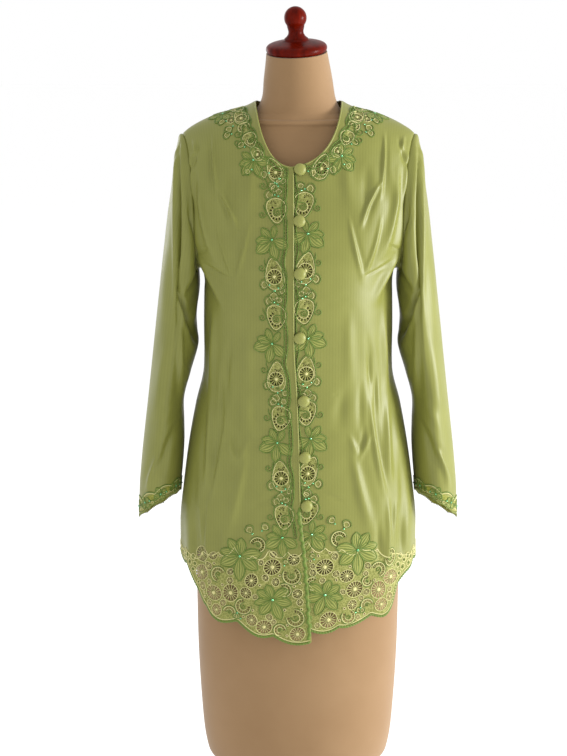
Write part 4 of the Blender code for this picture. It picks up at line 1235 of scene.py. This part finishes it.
def cut_cloth(name, sheet, work, uv, materials):
    """A front as one mesh in its own grid's plane: a Delaunay mesh of the grid's points and the outlines of
    slots and worked grounds, without the triangles in a slot. Those in a ground take the second material."""
    rows, columns = sheet.rows, sheet.columns
    lattice = pairs(np.arange(rows)[:, None], np.arange(columns)).reshape(-1, 2) * 1.0
    keep = np.ones(len(lattice), bool)
    for polygon in work.cuts:
        low, high = polygon.min(axis=0) - 0.35, polygon.max(axis=0) + 0.35
        near = np.flatnonzero(((lattice > low) & (lattice < high)).all(axis=1))
        keep[near[within(lattice[near], polygon, 0.25)]] = False
    points, edges = [lattice[keep]], []
    count = keep.sum()
    for loop in list(work.cuts) + list(work.grounds):
        loop = np.clip(loop, (0.2, 0.2), (rows - 1.2, columns - 1.2))
        points.append(loop)
        ring = np.arange(len(loop))
        edges.append(np.stack([count + ring, count + (ring + 1) % len(loop)], axis=-1))
        count += len(loop)
    points, edges = np.concatenate(points), np.concatenate(edges)
    found = delaunay_2d_cdt(points.tolist(), edges.tolist(), [], 0, 1e-4, False)
    flat = np.array([tuple(p) for p in found[0]])
    faces = np.array([f for f in found[2] if len(f) == 3])
    middle = flat[faces].mean(axis=1)
    holes, ground = np.zeros(len(faces), bool), np.zeros(len(faces), int)
    for loops, mark in ((work.cuts, holes), (work.grounds, ground)):
        for polygon in loops:
            inside = (middle > polygon.min(axis=0)) & (middle < polygon.max(axis=0))
            near = np.flatnonzero(inside.all(axis=1))
            mark[near[within(middle[near], polygon, 0.0)]] = 1
    faces, ground = faces[~holes], ground[~holes]
    used, faces = np.unique(faces, return_inverse=True)
    faces = faces.reshape(-1, 3)
    flat = flat[used]
    solid = sheet.at(flat)
    faces = turned_out(solid, faces, sheet.out(flat))
    made = add_mesh(name, solid, faces, materials, sheet.mixed(uv, flat), ground)
    give_wall(made)
    return made


def within(spots, polygon, margin):
    """Which spots lie inside a polygon, or within the margin of its outline, by the crossing rule."""
    a, b = polygon, np.roll(polygon, -1, axis=0)
    y, x = spots[:, :1], spots[:, 1:]
    crosses = (a[:, 0] > y) != (b[:, 0] > y)
    run = np.where(np.abs(b[:, 0] - a[:, 0]) < 1e-9, 1e-9, b[:, 0] - a[:, 0])
    inside = (crosses & (x < (b[:, 1] - a[:, 1]) * (y - a[:, 0]) / run + a[:, 1])).sum(axis=1) % 2 == 1
    if margin:
        edge, to = b - a, spots[:, None] - a
        t = np.clip((to * edge).sum(-1) / np.maximum((edge * edge).sum(-1), 1e-9), 0, 1)
        inside |= (np.linalg.norm(to - edge * t[..., None], axis=-1) < margin).any(axis=1)
    return inside


# -------------------------------------------------------------------------------------------------- materials
ONE_WAVE = math.pi / 10  # the scale at which bands lie one unit apart


def linear(hex_colour):
    """A linear colour from an sRGB hex value."""
    channels = [int(hex_colour[i:i + 2], 16) / 255 for i in (1, 3, 5)]
    return (*[c / 12.92 if c <= 0.04045 else ((c + 0.055) / 1.055) ** 2.4 for c in channels], 1.0)


def add_node(material, kind, settings=(), links=()):
    """A node with its settings and its inputs. settings goes from a property's or an input's name to its
    value, and links from an input's name to its source."""
    tree = material.node_tree
    node = tree.nodes.new(kind)
    for name, value in dict(settings).items():
        if isinstance(name, str) and hasattr(node, name):
            setattr(node, name, value)
        else:
            node.inputs[name].default_value = value
    for name, source in dict(links).items():
        tree.links.new(node.inputs[name], source)
    return node


def new_material(name, **shader):
    """A material with one Principled shader, whose uniform values are set on its own sockets."""
    material = bpy.data.materials.new(name)
    material.use_nodes = True
    principled = material.node_tree.nodes["Principled BSDF"]
    for socket, value in shader.items():
        principled.inputs[socket.replace("_", " ")].default_value = value
    return material, principled


def ramp(material, source, stops):
    """The colour output of a colour ramp over (position, hex colour) stops."""
    node = add_node(material, "ShaderNodeValToRGB", {}, {"Fac": source})
    while len(node.color_ramp.elements) < len(stops):
        node.color_ramp.elements.new(0.5)
    for element, (position, colour) in zip(node.color_ramp.elements, stops):
        element.position = position
        element.color = linear(colour)
    return node.outputs["Color"]


def waves(direction, scale, **more):
    """The kind and the settings of a texture of bands."""
    return "ShaderNodeTexWave", {"wave_type": "BANDS", "bands_direction": direction, "Scale": scale, **more}


def noise(scale, **more):
    return "ShaderNodeTexNoise", {"Scale": scale, **more}


def read_at(material, place="Object", stretch=None):
    """Where textures are read: a cloth's own mm (UV) or the object's metres, stretched if need be."""
    where = add_node(material, "ShaderNodeTexCoord").outputs[place]
    if stretch:
        mapped = add_node(material, "ShaderNodeMapping", {"Scale": stretch}, {"Vector": where})
        where = mapped.outputs["Vector"]
    return where


def bump(material, height, strength, distance, **links):
    """The normal that a height makes. distance is in metres."""
    settings = {"Strength": strength, "Distance": distance}
    return add_node(material, "ShaderNodeBump", settings, {"Height": height, **links}).outputs["Normal"]


def patterned(name, texture, stops, relief=None, raised=None, place="Object", stretch=None, output="Fac",
              **shader):
    """A material coloured by a ramp over one texture. relief is the (strength, distance) of the bump that the
    texture makes, or that the texture given as raised makes instead."""
    material, principled = new_material(name, **shader)
    where = read_at(material, place, stretch)
    source = add_node(material, *texture, {"Vector": where}).outputs[output]
    material.node_tree.links.new(principled.inputs["Base Color"], ramp(material, source, stops))
    if raised:
        source = add_node(material, *raised, {"Vector": where}).outputs["Fac"]
    if relief:
        material.node_tree.links.new(principled.inputs["Normal"], bump(material, source, *relief))
    return material


def striped_satin():
    """Polyester satin woven with tone-on-tone stripes: the eye sees fine lines 4.5 mm apart, a broad soft
    shine that runs down the folds, and a faint cross rib, drawn every 1.3 mm and not the real 0.2 mm."""
    material, shader = new_material("striped_satin", Roughness=0.46, Specular_IOR_Level=0.4,
                                    Sheen_Weight=0.04, Sheen_Roughness=0.4)
    uv = read_at(material, "UV")
    across = read_at(material, "UV", (1 / 4.5, 0.0, 0.0))
    stripe = add_node(material, *waves("X", ONE_WAVE, Distortion=0.0), {"Vector": across})
    lines = ramp(material, stripe.outputs["Color"], ((0.0, "#777935"), (0.4, "#7A7C38"), (1.0, "#7B7D39")))
    cloud = add_node(material, *noise(0.02, Detail=2.0), {"Vector": uv})
    shade = ramp(material, cloud.outputs["Fac"], ((0.35, "#F8F8F4"), (0.65, "#FFFFFF")))
    multiply = {"data_type": "RGBA", "blend_type": "MULTIPLY", "Factor": 1.0}
    mixed = add_node(material, "ShaderNodeMix", multiply, {6: lines, 7: shade})
    rib = add_node(material, *waves("Y", 0.24, Distortion=0.6, Detail=1.0), {"Vector": uv})
    grain = add_node(material, *noise(0.5, Detail=3.0), {"Vector": uv})
    both = add_node(material, "ShaderNodeMath", {"operation": "MULTIPLY_ADD", 1: 0.35},
                    {0: rib.outputs["Fac"], 2: grain.outputs["Fac"]})
    woven = bump(material, both.outputs[0], 0.25, 0.0003)
    tree = material.node_tree
    tree.links.new(shader.inputs["Base Color"], mixed.outputs[2])
    tree.links.new(shader.inputs["Normal"], bump(material, stripe.outputs["Fac"], 0.15, 0.0002, Normal=woven))
    return material


def stitched(name, dark, light, pitch, depth=0.0004, across=False):
    """Rayon embroidery thread laid side by side: close parallel lines with a silky shine. pitch is in mm
    along the cord, coarser than the real 0.4 mm so that it shows."""
    thread = waves("Y" if across else "X", ONE_WAVE / pitch, Distortion=0.4)
    return patterned(name, thread, ((0.15, dark), (0.75, light)), (0.6, depth), place="UV",
                     Roughness=0.5, Specular_IOR_Level=0.35, Sheen_Weight=0.03)


def worked_ground(name, thread, between, cloth):
    """Satin closely worked with pale thread beside the cutwork: a dull ground, with a pale net of cells about
    4 mm wide."""
    net = ("ShaderNodeTexVoronoi", {"Scale": 0.24, "feature": "DISTANCE_TO_EDGE"})
    return patterned(name, net, ((0.0, thread), (0.045, between), (0.12, cloth)), (0.5, 0.0004), place="UV",
                     output="Distance", Roughness=0.58, Specular_IOR_Level=0.35, Sheen_Weight=0.1)


def rhinestone():
    """Foiled glass stones: small hard aqua glints."""
    return patterned("foiled_glass_stone", noise(700.0), ((0.3, "#2F9448"), (0.7, "#86D79A")),
                     Roughness=0.08, Metallic=0.55, Specular_IOR_Level=0.9, Coat_Weight=1.0)


def covered_button_cloth():
    """The blouse's satin pulled over a button mould: plain, with the weave still just visible."""
    weave = waves("DIAGONAL", 260.0, Distortion=0.8)
    return patterned("covered_button_satin", weave, ((0.0, "#7E8039"), (1.0, "#8A8C42")), (0.3, 0.0002),
                     Roughness=0.45, Specular_IOR_Level=0.5, Sheen_Weight=0.1)


def jersey_cover():
    """Cotton jersey stretched over the form: matte warm cream with a fine knit and slight handling marks."""
    knit = waves("Z", 180.0, Distortion=1.5, Detail=2.0)
    return patterned("cotton_jersey", noise(7.0, Detail=4.0), ((0.3, "#866845"), (0.7, "#90724F")),
                     (0.25, 0.0002), knit, Roughness=0.78, Specular_IOR_Level=0.3, Sheen_Weight=0.2,
                     Sheen_Roughness=0.5)


def varnished_wood():
    """Turned hardwood, stained red-brown and varnished: dark grain drawn out along it, under a thin gloss."""
    grain = noise(3.0, Detail=8.0, Roughness=0.65)
    stain = ((0.3, "#3A0500"), (0.55, "#580C00"), (0.75, "#6C1604"))
    return patterned("stained_varnished_wood", grain, stain, (0.15, 0.0003), stretch=(40.0, 40.0, 9.0),
                     Roughness=0.36, Specular_IOR_Level=0.05, Coat_Weight=0.03, Coat_Roughness=0.1)


def drawn_steel():
    """Drawn steel tube: fine lines along its length."""
    return patterned("drawn_steel_tube", noise(1.0, Detail=3.0), ((0.3, "#9A9B9C"), (0.7, "#C4C5C6")),
                     (0.1, 0.0001), stretch=(900.0, 900.0, 4.0), Roughness=0.32, Metallic=1.0)


# ----------------------------------------------------------------------------------------------------- pieces
def flat_cut(sheet):
    """Where each grid point lies in the flat cloth, in mm. On the body it is the arc round it at that height,
    and the height. On a sleeve it is the arc of an ellipse round the arm's line, and the way along that."""
    points = sheet.points
    x, z = np.abs(points[..., 0]), points[..., 2]
    turn = np.radians(np.linspace(0, 180, 400))
    if sheet.wrap:
        along = unit(np.array(ARM_HEADING))
        dx, dz = x - ARM_START[0], z - ARM_START[1]
        way = dx * along[0] + dz * along[1]
        across = dx * -along[1] + dz * along[0] - ARM_BOW * np.sin(np.clip(way / ARM_LENGTH, 0, 1) * math.pi)
        depth = np.interp(way, ARM_DEPTH_AT, ARM_DEPTHS)
        back = points[..., 1] - ARM_CENTRE_Y
        arc = lengths_along(pairs(ARM_FLATNESS * np.cos(turn), np.sin(turn)))
        round_arm = np.arctan2(np.abs(back) / depth, across / (ARM_FLATNESS * depth))
        return pairs(np.interp(round_arm, turn, arc) * ARM_UNROLLED * np.sign(back), -way)
    rounding = np.clip(np.cos(turn / 2), 0, 1) ** (2 / SECTION_POWER)
    section = pairs(np.sin(turn / 2), BODY_DEPTH_SHARE * rounding)
    arc = lengths_along(section)
    share = np.clip(x / body(z, "half_width"), 0, 1)
    around = np.interp(share, section[:, 0], arc) * body(z, "half_width")
    flattening = fade(z, 1290, 1370)
    around = around * (1 - flattening) + x * flattening
    return pairs(around * np.sign(points[..., 0]), z)


SLIT_STITCHES = (2.6, 0.9, 3.2, 0.2)  # width, height, pitch and swelling


def hand_over(made, slot, *nodes):
    """Hides the CAD nodes that a piece takes the place of and attaches the piece to the body it rides on.
    slot is not used.
    """
    if nodes:
        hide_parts(*nodes)
    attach(made, ROOT)


def sheet_mesh(name, sheet, materials, face_material=None):
    """A whole grid as a cloth with a wall."""
    points, wrap = sheet.points.reshape(-1, 3), sheet.wrap
    faces = turned_out(points, grid_faces(sheet.rows, sheet.columns, wrap), sheet.normals.reshape(-1, 3))
    made = add_mesh(name, points, faces, materials, flat_cut(sheet).reshape(-1, 2), face_material)
    give_wall(made)
    return made


def make_front(side, cloths):
    """One front, with what is embroidered on it, its hem and opening edges and its neck binding."""
    name = "left" if side > 0 else "right"
    sheet = front_sheet(side)
    work = work_border(side, sheet)
    rows, columns = sheet.rows, sheet.columns
    satin_and_ground = [cloths["satin"], cloths["ground"]]
    front = cut_cloth(f"front_{name}_cloth", sheet, work, flat_cut(sheet), satin_and_ground)
    hand_over(front, "satin", f"front_{name}")

    hem_path = pairs(rows - 1.1, np.arange(columns - 1.0) + 0.4)
    edge_band(work, hem_path, 2.8, 1.3, 4.4, 0.8)
    inside = sheet.locate(sheet.at(hem_path) + (0, 0, 3.4), hem_path - (2, 0))
    work.pale.cord(sheet, inside, 1.5, 0.9, sides=4, lift=STITCH_LIFT)
    lace_top = YOKE_NECK_ROWS + YOKE_DROP_ROWS + SKIRT_ROWS
    first = UNDERLAP / NEAR_STEP if side > 0 else 0.7
    edge_band(work, pairs(np.arange(lace_top - 14, rows - 1.0), first + 0.5), 3.6, 1.3, 5.0, 0.7, 1.1)
    slit = np.flatnonzero(sheet.points[:, -1, 2] < SLIT_TOP + 6)
    edge_band(work, pairs(slit, columns - 1.5), *SLIT_STITCHES)
    names = [f"{part}_{name}" for part in ("green_stitching", "pale_stitching", "worked_petals", "stones")]
    pieces = work.make_pieces(names, cloths)
    binding = Heap()
    binding.cord(sheet, pairs(np.arange(0, YOKE_NECK_ROWS + 1.0), 0.35), 2.6, 1.3, sides=6, lift=-0.4)
    if side < 0:
        edge = np.arange(YOKE_NECK_ROWS, lace_top - 12.0)
        binding.cord(sheet, pairs(edge, 0.3), 2.2, 1.2, sides=6, lift=-0.3)
        binding.cord(sheet, pairs(edge, STRIP / NEAR_STEP), 1.2, 0.5, sides=5)
        strip = binding.make("opening_strip_edges", cloths["plain"])
        hand_over(strip, "satin", "opening_strip")
    else:
        strip = binding.make("neck_binding_left", cloths["plain"])
        hand_over(strip, "satin")
    hand_over(pieces[0], "embroidery", f"opening_border_{name}", f"hem_border_{name}")
    for piece in pieces[1:]:
        hand_over(piece, "embroidery")
    return sheet


def make_back(cloths):
    """The back, with its hem and slit edges and its neck binding."""
    sheet = back_sheet()
    back = sheet_mesh("back_cloth", sheet, [cloths["satin"]])
    work = Embroidery(sheet)
    edge_band(work, pairs(sheet.rows - 1.6, np.arange(sheet.columns - 1.0) + 0.4), *SLIT_STITCHES)
    slit = np.flatnonzero(sheet.points[:, 0, 2] < SLIT_TOP + 6)
    for edge in (0.5, sheet.columns - 1.5):
        edge_band(work, pairs(slit, edge), 2.4, *SLIT_STITCHES[1:])
    stitching = work.green.make("back_hem_stitching", cloths["green"])
    binding = Heap()
    neck = np.flatnonzero(np.abs(sheet.points[0, :, 0]) <= NECK_POINT_X + 1)
    binding.cord(sheet, pairs(0.4, neck), 2.6, 1.3, sides=6, lift=-0.4)
    bound = binding.make("neck_binding_back", cloths["plain"])
    hand_over(back, "satin", "back")
    hand_over(stitching, "embroidery")
    hand_over(bound, "satin")


def make_sleeve(side, cloths):
    """One sleeve, with the cuff that is worked on it."""
    name = "left" if side > 0 else "right"
    sheet = sleeve_sheet(side)
    worked = np.repeat(np.arange(sheet.rows - 1) >= sheet.rows - CUFF_ROWS, sheet.columns).astype(int)
    sleeve = sheet_mesh(f"sleeve_{name}_cloth", sheet, [cloths["satin"], cloths["cuff"]], worked)
    work = Embroidery(sheet)
    around = np.arange(sheet.columns * 4.0) / 4
    swell = 1 + 0.6 * np.cos(np.arange(len(around)) * 2 * math.pi / 7)
    edge = pairs(sheet.rows - 1.2, around)
    work.petals.cord(sheet, edge, 3.0 * swell, 1.3, closed=True, sides=6, lift=-0.2)
    wave = sheet.rows - CUFF_ROWS - 2.4 * np.abs(np.sin(all_round(len(around)) * CUFF_SCALLOPS / 2 + 0.6))
    work.green.cord(sheet, pairs(wave, around), 1.6, 1.2, closed=True, lift=STITCH_LIFT)
    work.pale.cord(sheet, pairs(wave + 0.8, around), 1.4, 0.8, closed=True, lift=STITCH_LIFT)
    for number in range(CUFF_SCALLOPS * 3):
        high = sheet.rows - CUFF_ROWS * (0.58 if number % 3 else 0.66)
        place = np.array([high, (number + 0.5) * sheet.columns / (CUFF_SCALLOPS * 3)])
        at = across_frame(sheet, place, 37.0 * number)
        if number % 3 == 0:
            work.flower(at, 15.0, CUFF_FLOWER, 1.6)
        elif number % 3 == 1:
            work.heart(at, 6.5)
        else:
            work.tendril(at, 4.2, 1, 40, 4)
    for column_at in np.arange(CUFF_SCALLOPS * 7) * sheet.columns / (CUFF_SCALLOPS * 7):
        at = across_frame(sheet, np.array([sheet.rows - 2.9, column_at]))
        work.pale.cord(sheet, at.lay(circle(1.5, points=8)), 0.9, 0.8, True, sides=3, lift=STITCH_LIFT)
    names = [f"cuff_{part}_{name}" for part in ("green_stitching", "pale_stitching", "petals", "stones")]
    pieces = work.make_pieces(names, cloths)
    hand_over(sleeve, "satin", f"sleeve_{name}")
    hand_over(pieces[0], "embroidery", f"cuff_border_{name}")
    for piece in pieces[1:]:
        hand_over(piece, "embroidery")


def make_buttons(cloths, left_front):
    """Seven covered buttons, each a cushioned dome with a rolled rim, and the loops that hold them."""
    rise = np.linspace(-0.55, math.pi / 2 - 0.01, 13)
    radius = BUTTON_RADIUS * np.cos(rise) ** 0.8
    seat = PANEL_STACK + BUTTON_SEAT
    height = seat + BUTTON_RISE * np.sin(rise) * 0.75
    ring = ring_of(BUTTON_SEGMENTS)[None]
    for number, z in enumerate(BUTTON_HEIGHTS, 1):
        place = place_in_front(left_front, float(opening_x(z)) + BUTTON_RADIUS, z)
        at = Frame(left_front, place, np.array([1.0, 0.0, 0.0]))
        normal = left_front.out(place)
        points = (at.centre + radius[:, None, None] * (ring[..., :1] * at.right + ring[..., 1:] * at.up)
                  + height[:, None, None] * normal).reshape(-1, 3)
        faces = closed_rings(points, len(rise), BUTTON_SEGMENTS, points - at.centre - normal * seat, normal)
        button = add_mesh(f"covered_button_{number}", points, faces, [cloths["button"]])
        hand_over(button, "covered_button", f"button_{number}")
        heap = Heap()
        loop = circle(BUTTON_RADIUS - 0.4, points=22, start=LOOP_TURN, end=-LOOP_TURN)
        heap.cord(left_front, at.lay(loop), 2.3, 2.2, sides=8, lift=PANEL_STACK)
        hand_over(heap.make(f"button_loop_{number}", cloths["plain"]), "covered_button", f"loop_{number}")


def tilted(points):
    """Tilts points about the origin as the top of the neck is tilted: forwards and to the wearer's right."""
    forward, aside = math.radians(CAP_TILT), math.radians(CAP_LEAN)
    y = points[..., 1] * math.cos(forward) - points[..., 2] * math.sin(forward)
    z = points[..., 1] * math.sin(forward) + points[..., 2] * math.cos(forward)
    x = points[..., 0] * math.cos(aside) - z * math.sin(aside)
    return np.stack([x, y, points[..., 0] * math.sin(aside) + z * math.cos(aside)], axis=-1)


def make_form(cover):
    """The covered form: superellipse rings between the tabled sections, tilted towards the top of the neck,
    with a sewn ridge round the neck's foot. Returns the middle of the neck's top."""
    known = column(FORM_SECTIONS, FORM_COLUMNS, "z")
    top = known[-1]
    even = np.linspace(known[0], top, FORM_RINGS)
    z = np.unique(np.concatenate([known, even, np.arange(*NECK_RIDGE_FINE, 1.0)]))
    values = {name: read(FORM_SECTIONS, FORM_COLUMNS, z, name)[:, None] for name in FORM_COLUMNS[1:]}
    power = np.where(z < NECK_FROM_Z, FORM_POWER, 2.0)[:, None]
    ring = ring_of(FORM_SEGMENTS)
    cosine, sine = ring[None, :, 0], ring[None, :, 1]
    depth = np.where(sine < 0, values["front_depth"], values["back_depth"])
    x = values["half_width"] * rounded_sine(cosine, power) + values["centre_x"]
    y = depth * rounded_sine(sine, power) + values["centre_y"]
    rings = np.stack([x, y, np.broadcast_to(z[:, None], x.shape)], axis=-1)
    share = (np.clip((z - NECK_FROM_Z) / (top - NECK_FROM_Z), 0, 1) ** 1.5)[:, None, None]
    middle = np.stack([values["centre_x"][:, 0], values["centre_y"][:, 0], z], axis=-1)[:, None]
    rings = rings + (tilted(rings - middle) + middle - rings) * share
    normals = grid_normals(rings, True)
    ridge = NECK_RIDGE_RISE * np.exp(-(((z - NECK_RIDGE_Z) / NECK_RIDGE_HALF) ** 4))[:, None]
    rings = rings + normals * (ridge * fade(-sine, -0.2, 0.5))[..., None]
    flat = rings.reshape(-1, 3)
    faces = closed_rings(flat, len(z), FORM_SEGMENTS, normals.reshape(-1, 3), (0.0, 0.0, 1.0))
    form = add_mesh("covered_form", flat, faces, [cover])
    form.data.set_sharp_from_angle(angle=math.radians(50))
    hand_over(form, "form_cover", "form_body")
    return middle[-1, 0]


def make_turned(name, profile, material, node, slot, steps=96, place=None):
    """A turned solid: the profile of (radius, height) carried round the axis, closed at both poles."""
    profile = np.array(profile, float)
    inner = profile[1:-1]
    heights = np.broadcast_to(inner[:, None, 1:], (len(inner), steps, 1))
    rings = np.concatenate([inner[:, None, :1] * ring_of(steps), heights], axis=-1)
    points = np.concatenate([rings.reshape(-1, 3), [[0, 0, profile[0, 1]], [0, 0, profile[-1, 1]]]])
    quads = turned_out(points, grid_faces(len(inner), steps, wrap=True), points * (1, 1, 0))
    faces = [quads[:, [0, 1, 2]], quads[:, [0, 2, 3]]]
    ring = np.arange(steps)
    for start, pole, up in ((0, -2, -1.0), ((len(inner) - 1) * steps, -1, 1.0)):
        fan = np.stack([ring + start, np.roll(ring, -1) + start, np.full(steps, len(points) + pole)], axis=-1)
        faces.append(turned_out(points, fan, np.broadcast_to((0.0, 0.0, up), points.shape)))
    if place:
        points = place(points)
    made = add_mesh(name, points, np.concatenate(faces), [material])
    made.data.set_sharp_from_angle(angle=math.radians(40))
    hand_over(made, slot, node)


def rounded(profile, reach=0.42, bends=5):
    """A profile whose corners are quadratic curves, which reach this share of the way to their neighbours."""
    profile = np.array(profile, float)
    rows = [profile[:1]]
    for before, corner, after in zip(profile[:-2], profile[1:-1], profile[2:]):
        start, end = corner + (before - corner) * reach, corner + (after - corner) * reach
        rows.append(arc_between(start, corner, end, np.linspace(0, 1, bends)[:, None]))
    rows.append(profile[-1:])
    return np.concatenate(rows)


def make_stand(neck_top, wood, steel):
    """Cap and knob, pole and base."""
    turn = np.linspace(math.radians(-38), math.radians(90), 20)[:-1]
    knob = pairs(KNOB_RADIUS * np.cos(turn), KNOB_CENTRE + KNOB_RADIUS * np.sin(turn))
    profile = np.concatenate([[(0, 0)], rounded(CAP_PROFILE[1:]), knob, [(0, KNOB_CENTRE + KNOB_RADIUS)]])
    forward, aside = math.radians(CAP_TILT), math.radians(CAP_LEAN)
    lift = neck_top + unit(np.array([-math.sin(aside), -math.sin(forward), math.cos(forward)])) * PIECE_GAP
    make_turned("neck_cap", profile, wood, "form_cap", "stained_wood",
                place=lambda points: tilted(points) + lift)
    base = [(0, 0), (BASE_RADIUS - BASE_EDGE, 0)]
    for degrees in np.linspace(-90, 90, 11):
        level = BASE_HEIGHT / 2 + (BASE_HEIGHT / 2 - BASE_EDGE) * np.sign(degrees)
        turn = math.radians(degrees)
        out = BASE_RADIUS - BASE_EDGE + BASE_EDGE * math.cos(turn)
        base.append((out, level + BASE_EDGE * math.sin(turn)))
    base += [(HUB_RADIUS + 3, BASE_HEIGHT), (HUB_RADIUS, BASE_HEIGHT + 2), (HUB_RADIUS - 0.5, HUB_HEIGHT - 5)]
    base += [(HUB_RADIUS - 2, HUB_HEIGHT - 1.5), (HUB_RADIUS - 5, HUB_HEIGHT), (0, HUB_HEIGHT)]
    make_turned("round_base", base, wood, "stand_base", "stained_wood", 144)
    low, high = HUB_HEIGHT + PIECE_GAP, FORM_SECTIONS[0][0] - PIECE_GAP
    pole = [(0, low), (POLE_RADIUS, low), (POLE_RADIUS, high), (0, high)]
    make_turned("pole", pole, steel, "stand_pole", "pole_metal", 64)


# ----------------------------------------------------------------------------------------------------- studio
def area_light(name, place, target, size, power):
    """A square softbox turned towards a target."""
    light = bpy.data.lights.new(name, "AREA")
    light.size = size
    light.energy = power
    lamp = bpy.data.objects.new(name, light)
    bpy.context.scene.collection.objects.link(lamp)
    lamp.location = place
    heading = np.array(target, float) - np.array(place, float)
    lamp.rotation_euler = (math.atan2(math.hypot(heading[0], heading[1]), -heading[2]), 0,
                           math.atan2(heading[1], heading[0]) - math.pi / 2)


def make_studio():
    """A wide white floor, even pale surroundings, a low soft key from the wearer's left, a weak fill from the
    other side, a soft light on the back, and the camera."""
    scene = bpy.context.scene
    scene.view_settings.view_transform = "Standard"
    reach = np.array([-FLOOR_REACH, FLOOR_REACH])
    points = np.insert(pairs(reach, reach[:, None]).reshape(-1, 2), 2, 0.0, axis=1)
    faces = turned_out(points, grid_faces(2, 2), np.broadcast_to((0.0, 0.0, 1.0), points.shape))
    pale, shader = new_material("pale_floor", Roughness=0.95)
    shader.inputs["Base Color"].default_value = linear("#FFFFFF")
    floor = add_mesh("floor", points, faces, [pale])
    world = bpy.data.worlds.new("surroundings")
    scene.world = world
    world.use_nodes = True
    background = world.node_tree.nodes["Background"].inputs
    background["Color"].default_value = (1, 1, 1, 1)
    background["Strength"].default_value = WORLD_STRENGTH
    for light in LIGHTS:
        area_light(*light)
    camera = bpy.data.cameras.new("camera")
    camera.sensor_fit = "VERTICAL"
    camera.sensor_height = 36
    camera.lens = CAMERA_LENS
    stand = bpy.data.objects.new("camera", camera)
    scene.collection.objects.link(stand)
    stand.location = np.array(CAMERA_PLACE) * MM
    stand.rotation_euler = (math.radians(90 - CAMERA_DOWN), 0, 0)
    scene.camera = stand


CLOTHS = {
    "satin": striped_satin(),
    "ground": worked_ground("worked_ground", "#A09F5B", "#898B46", "#747733"),
    "cuff": worked_ground("cuff_ground", "#96973F", "#868830", "#747720"),
    "green": stitched("green_rayon_stitch", "#4A5F1C", "#6B832E", 1.3),
    "pale": stitched("pale_rayon_stitch", "#B4AF66", "#DDD79E", 1.3),
    "petal": stitched("worked_petal", "#636D27", "#8A8F45", 0.16, 0.0005, across=True),
    "stone": rhinestone(),
    "button": covered_button_cloth(),
}
CLOTHS["plain"] = CLOTHS["button"]
WOOD, STEEL = varnished_wood(), drawn_steel()

left_front = make_front(1, CLOTHS)
make_front(-1, CLOTHS)
make_back(CLOTHS)
make_sleeve(1, CLOTHS)
make_sleeve(-1, CLOTHS)
make_buttons(CLOTHS, left_front)
make_stand(make_form(jersey_cover()), WOOD, STEEL)
make_studio()
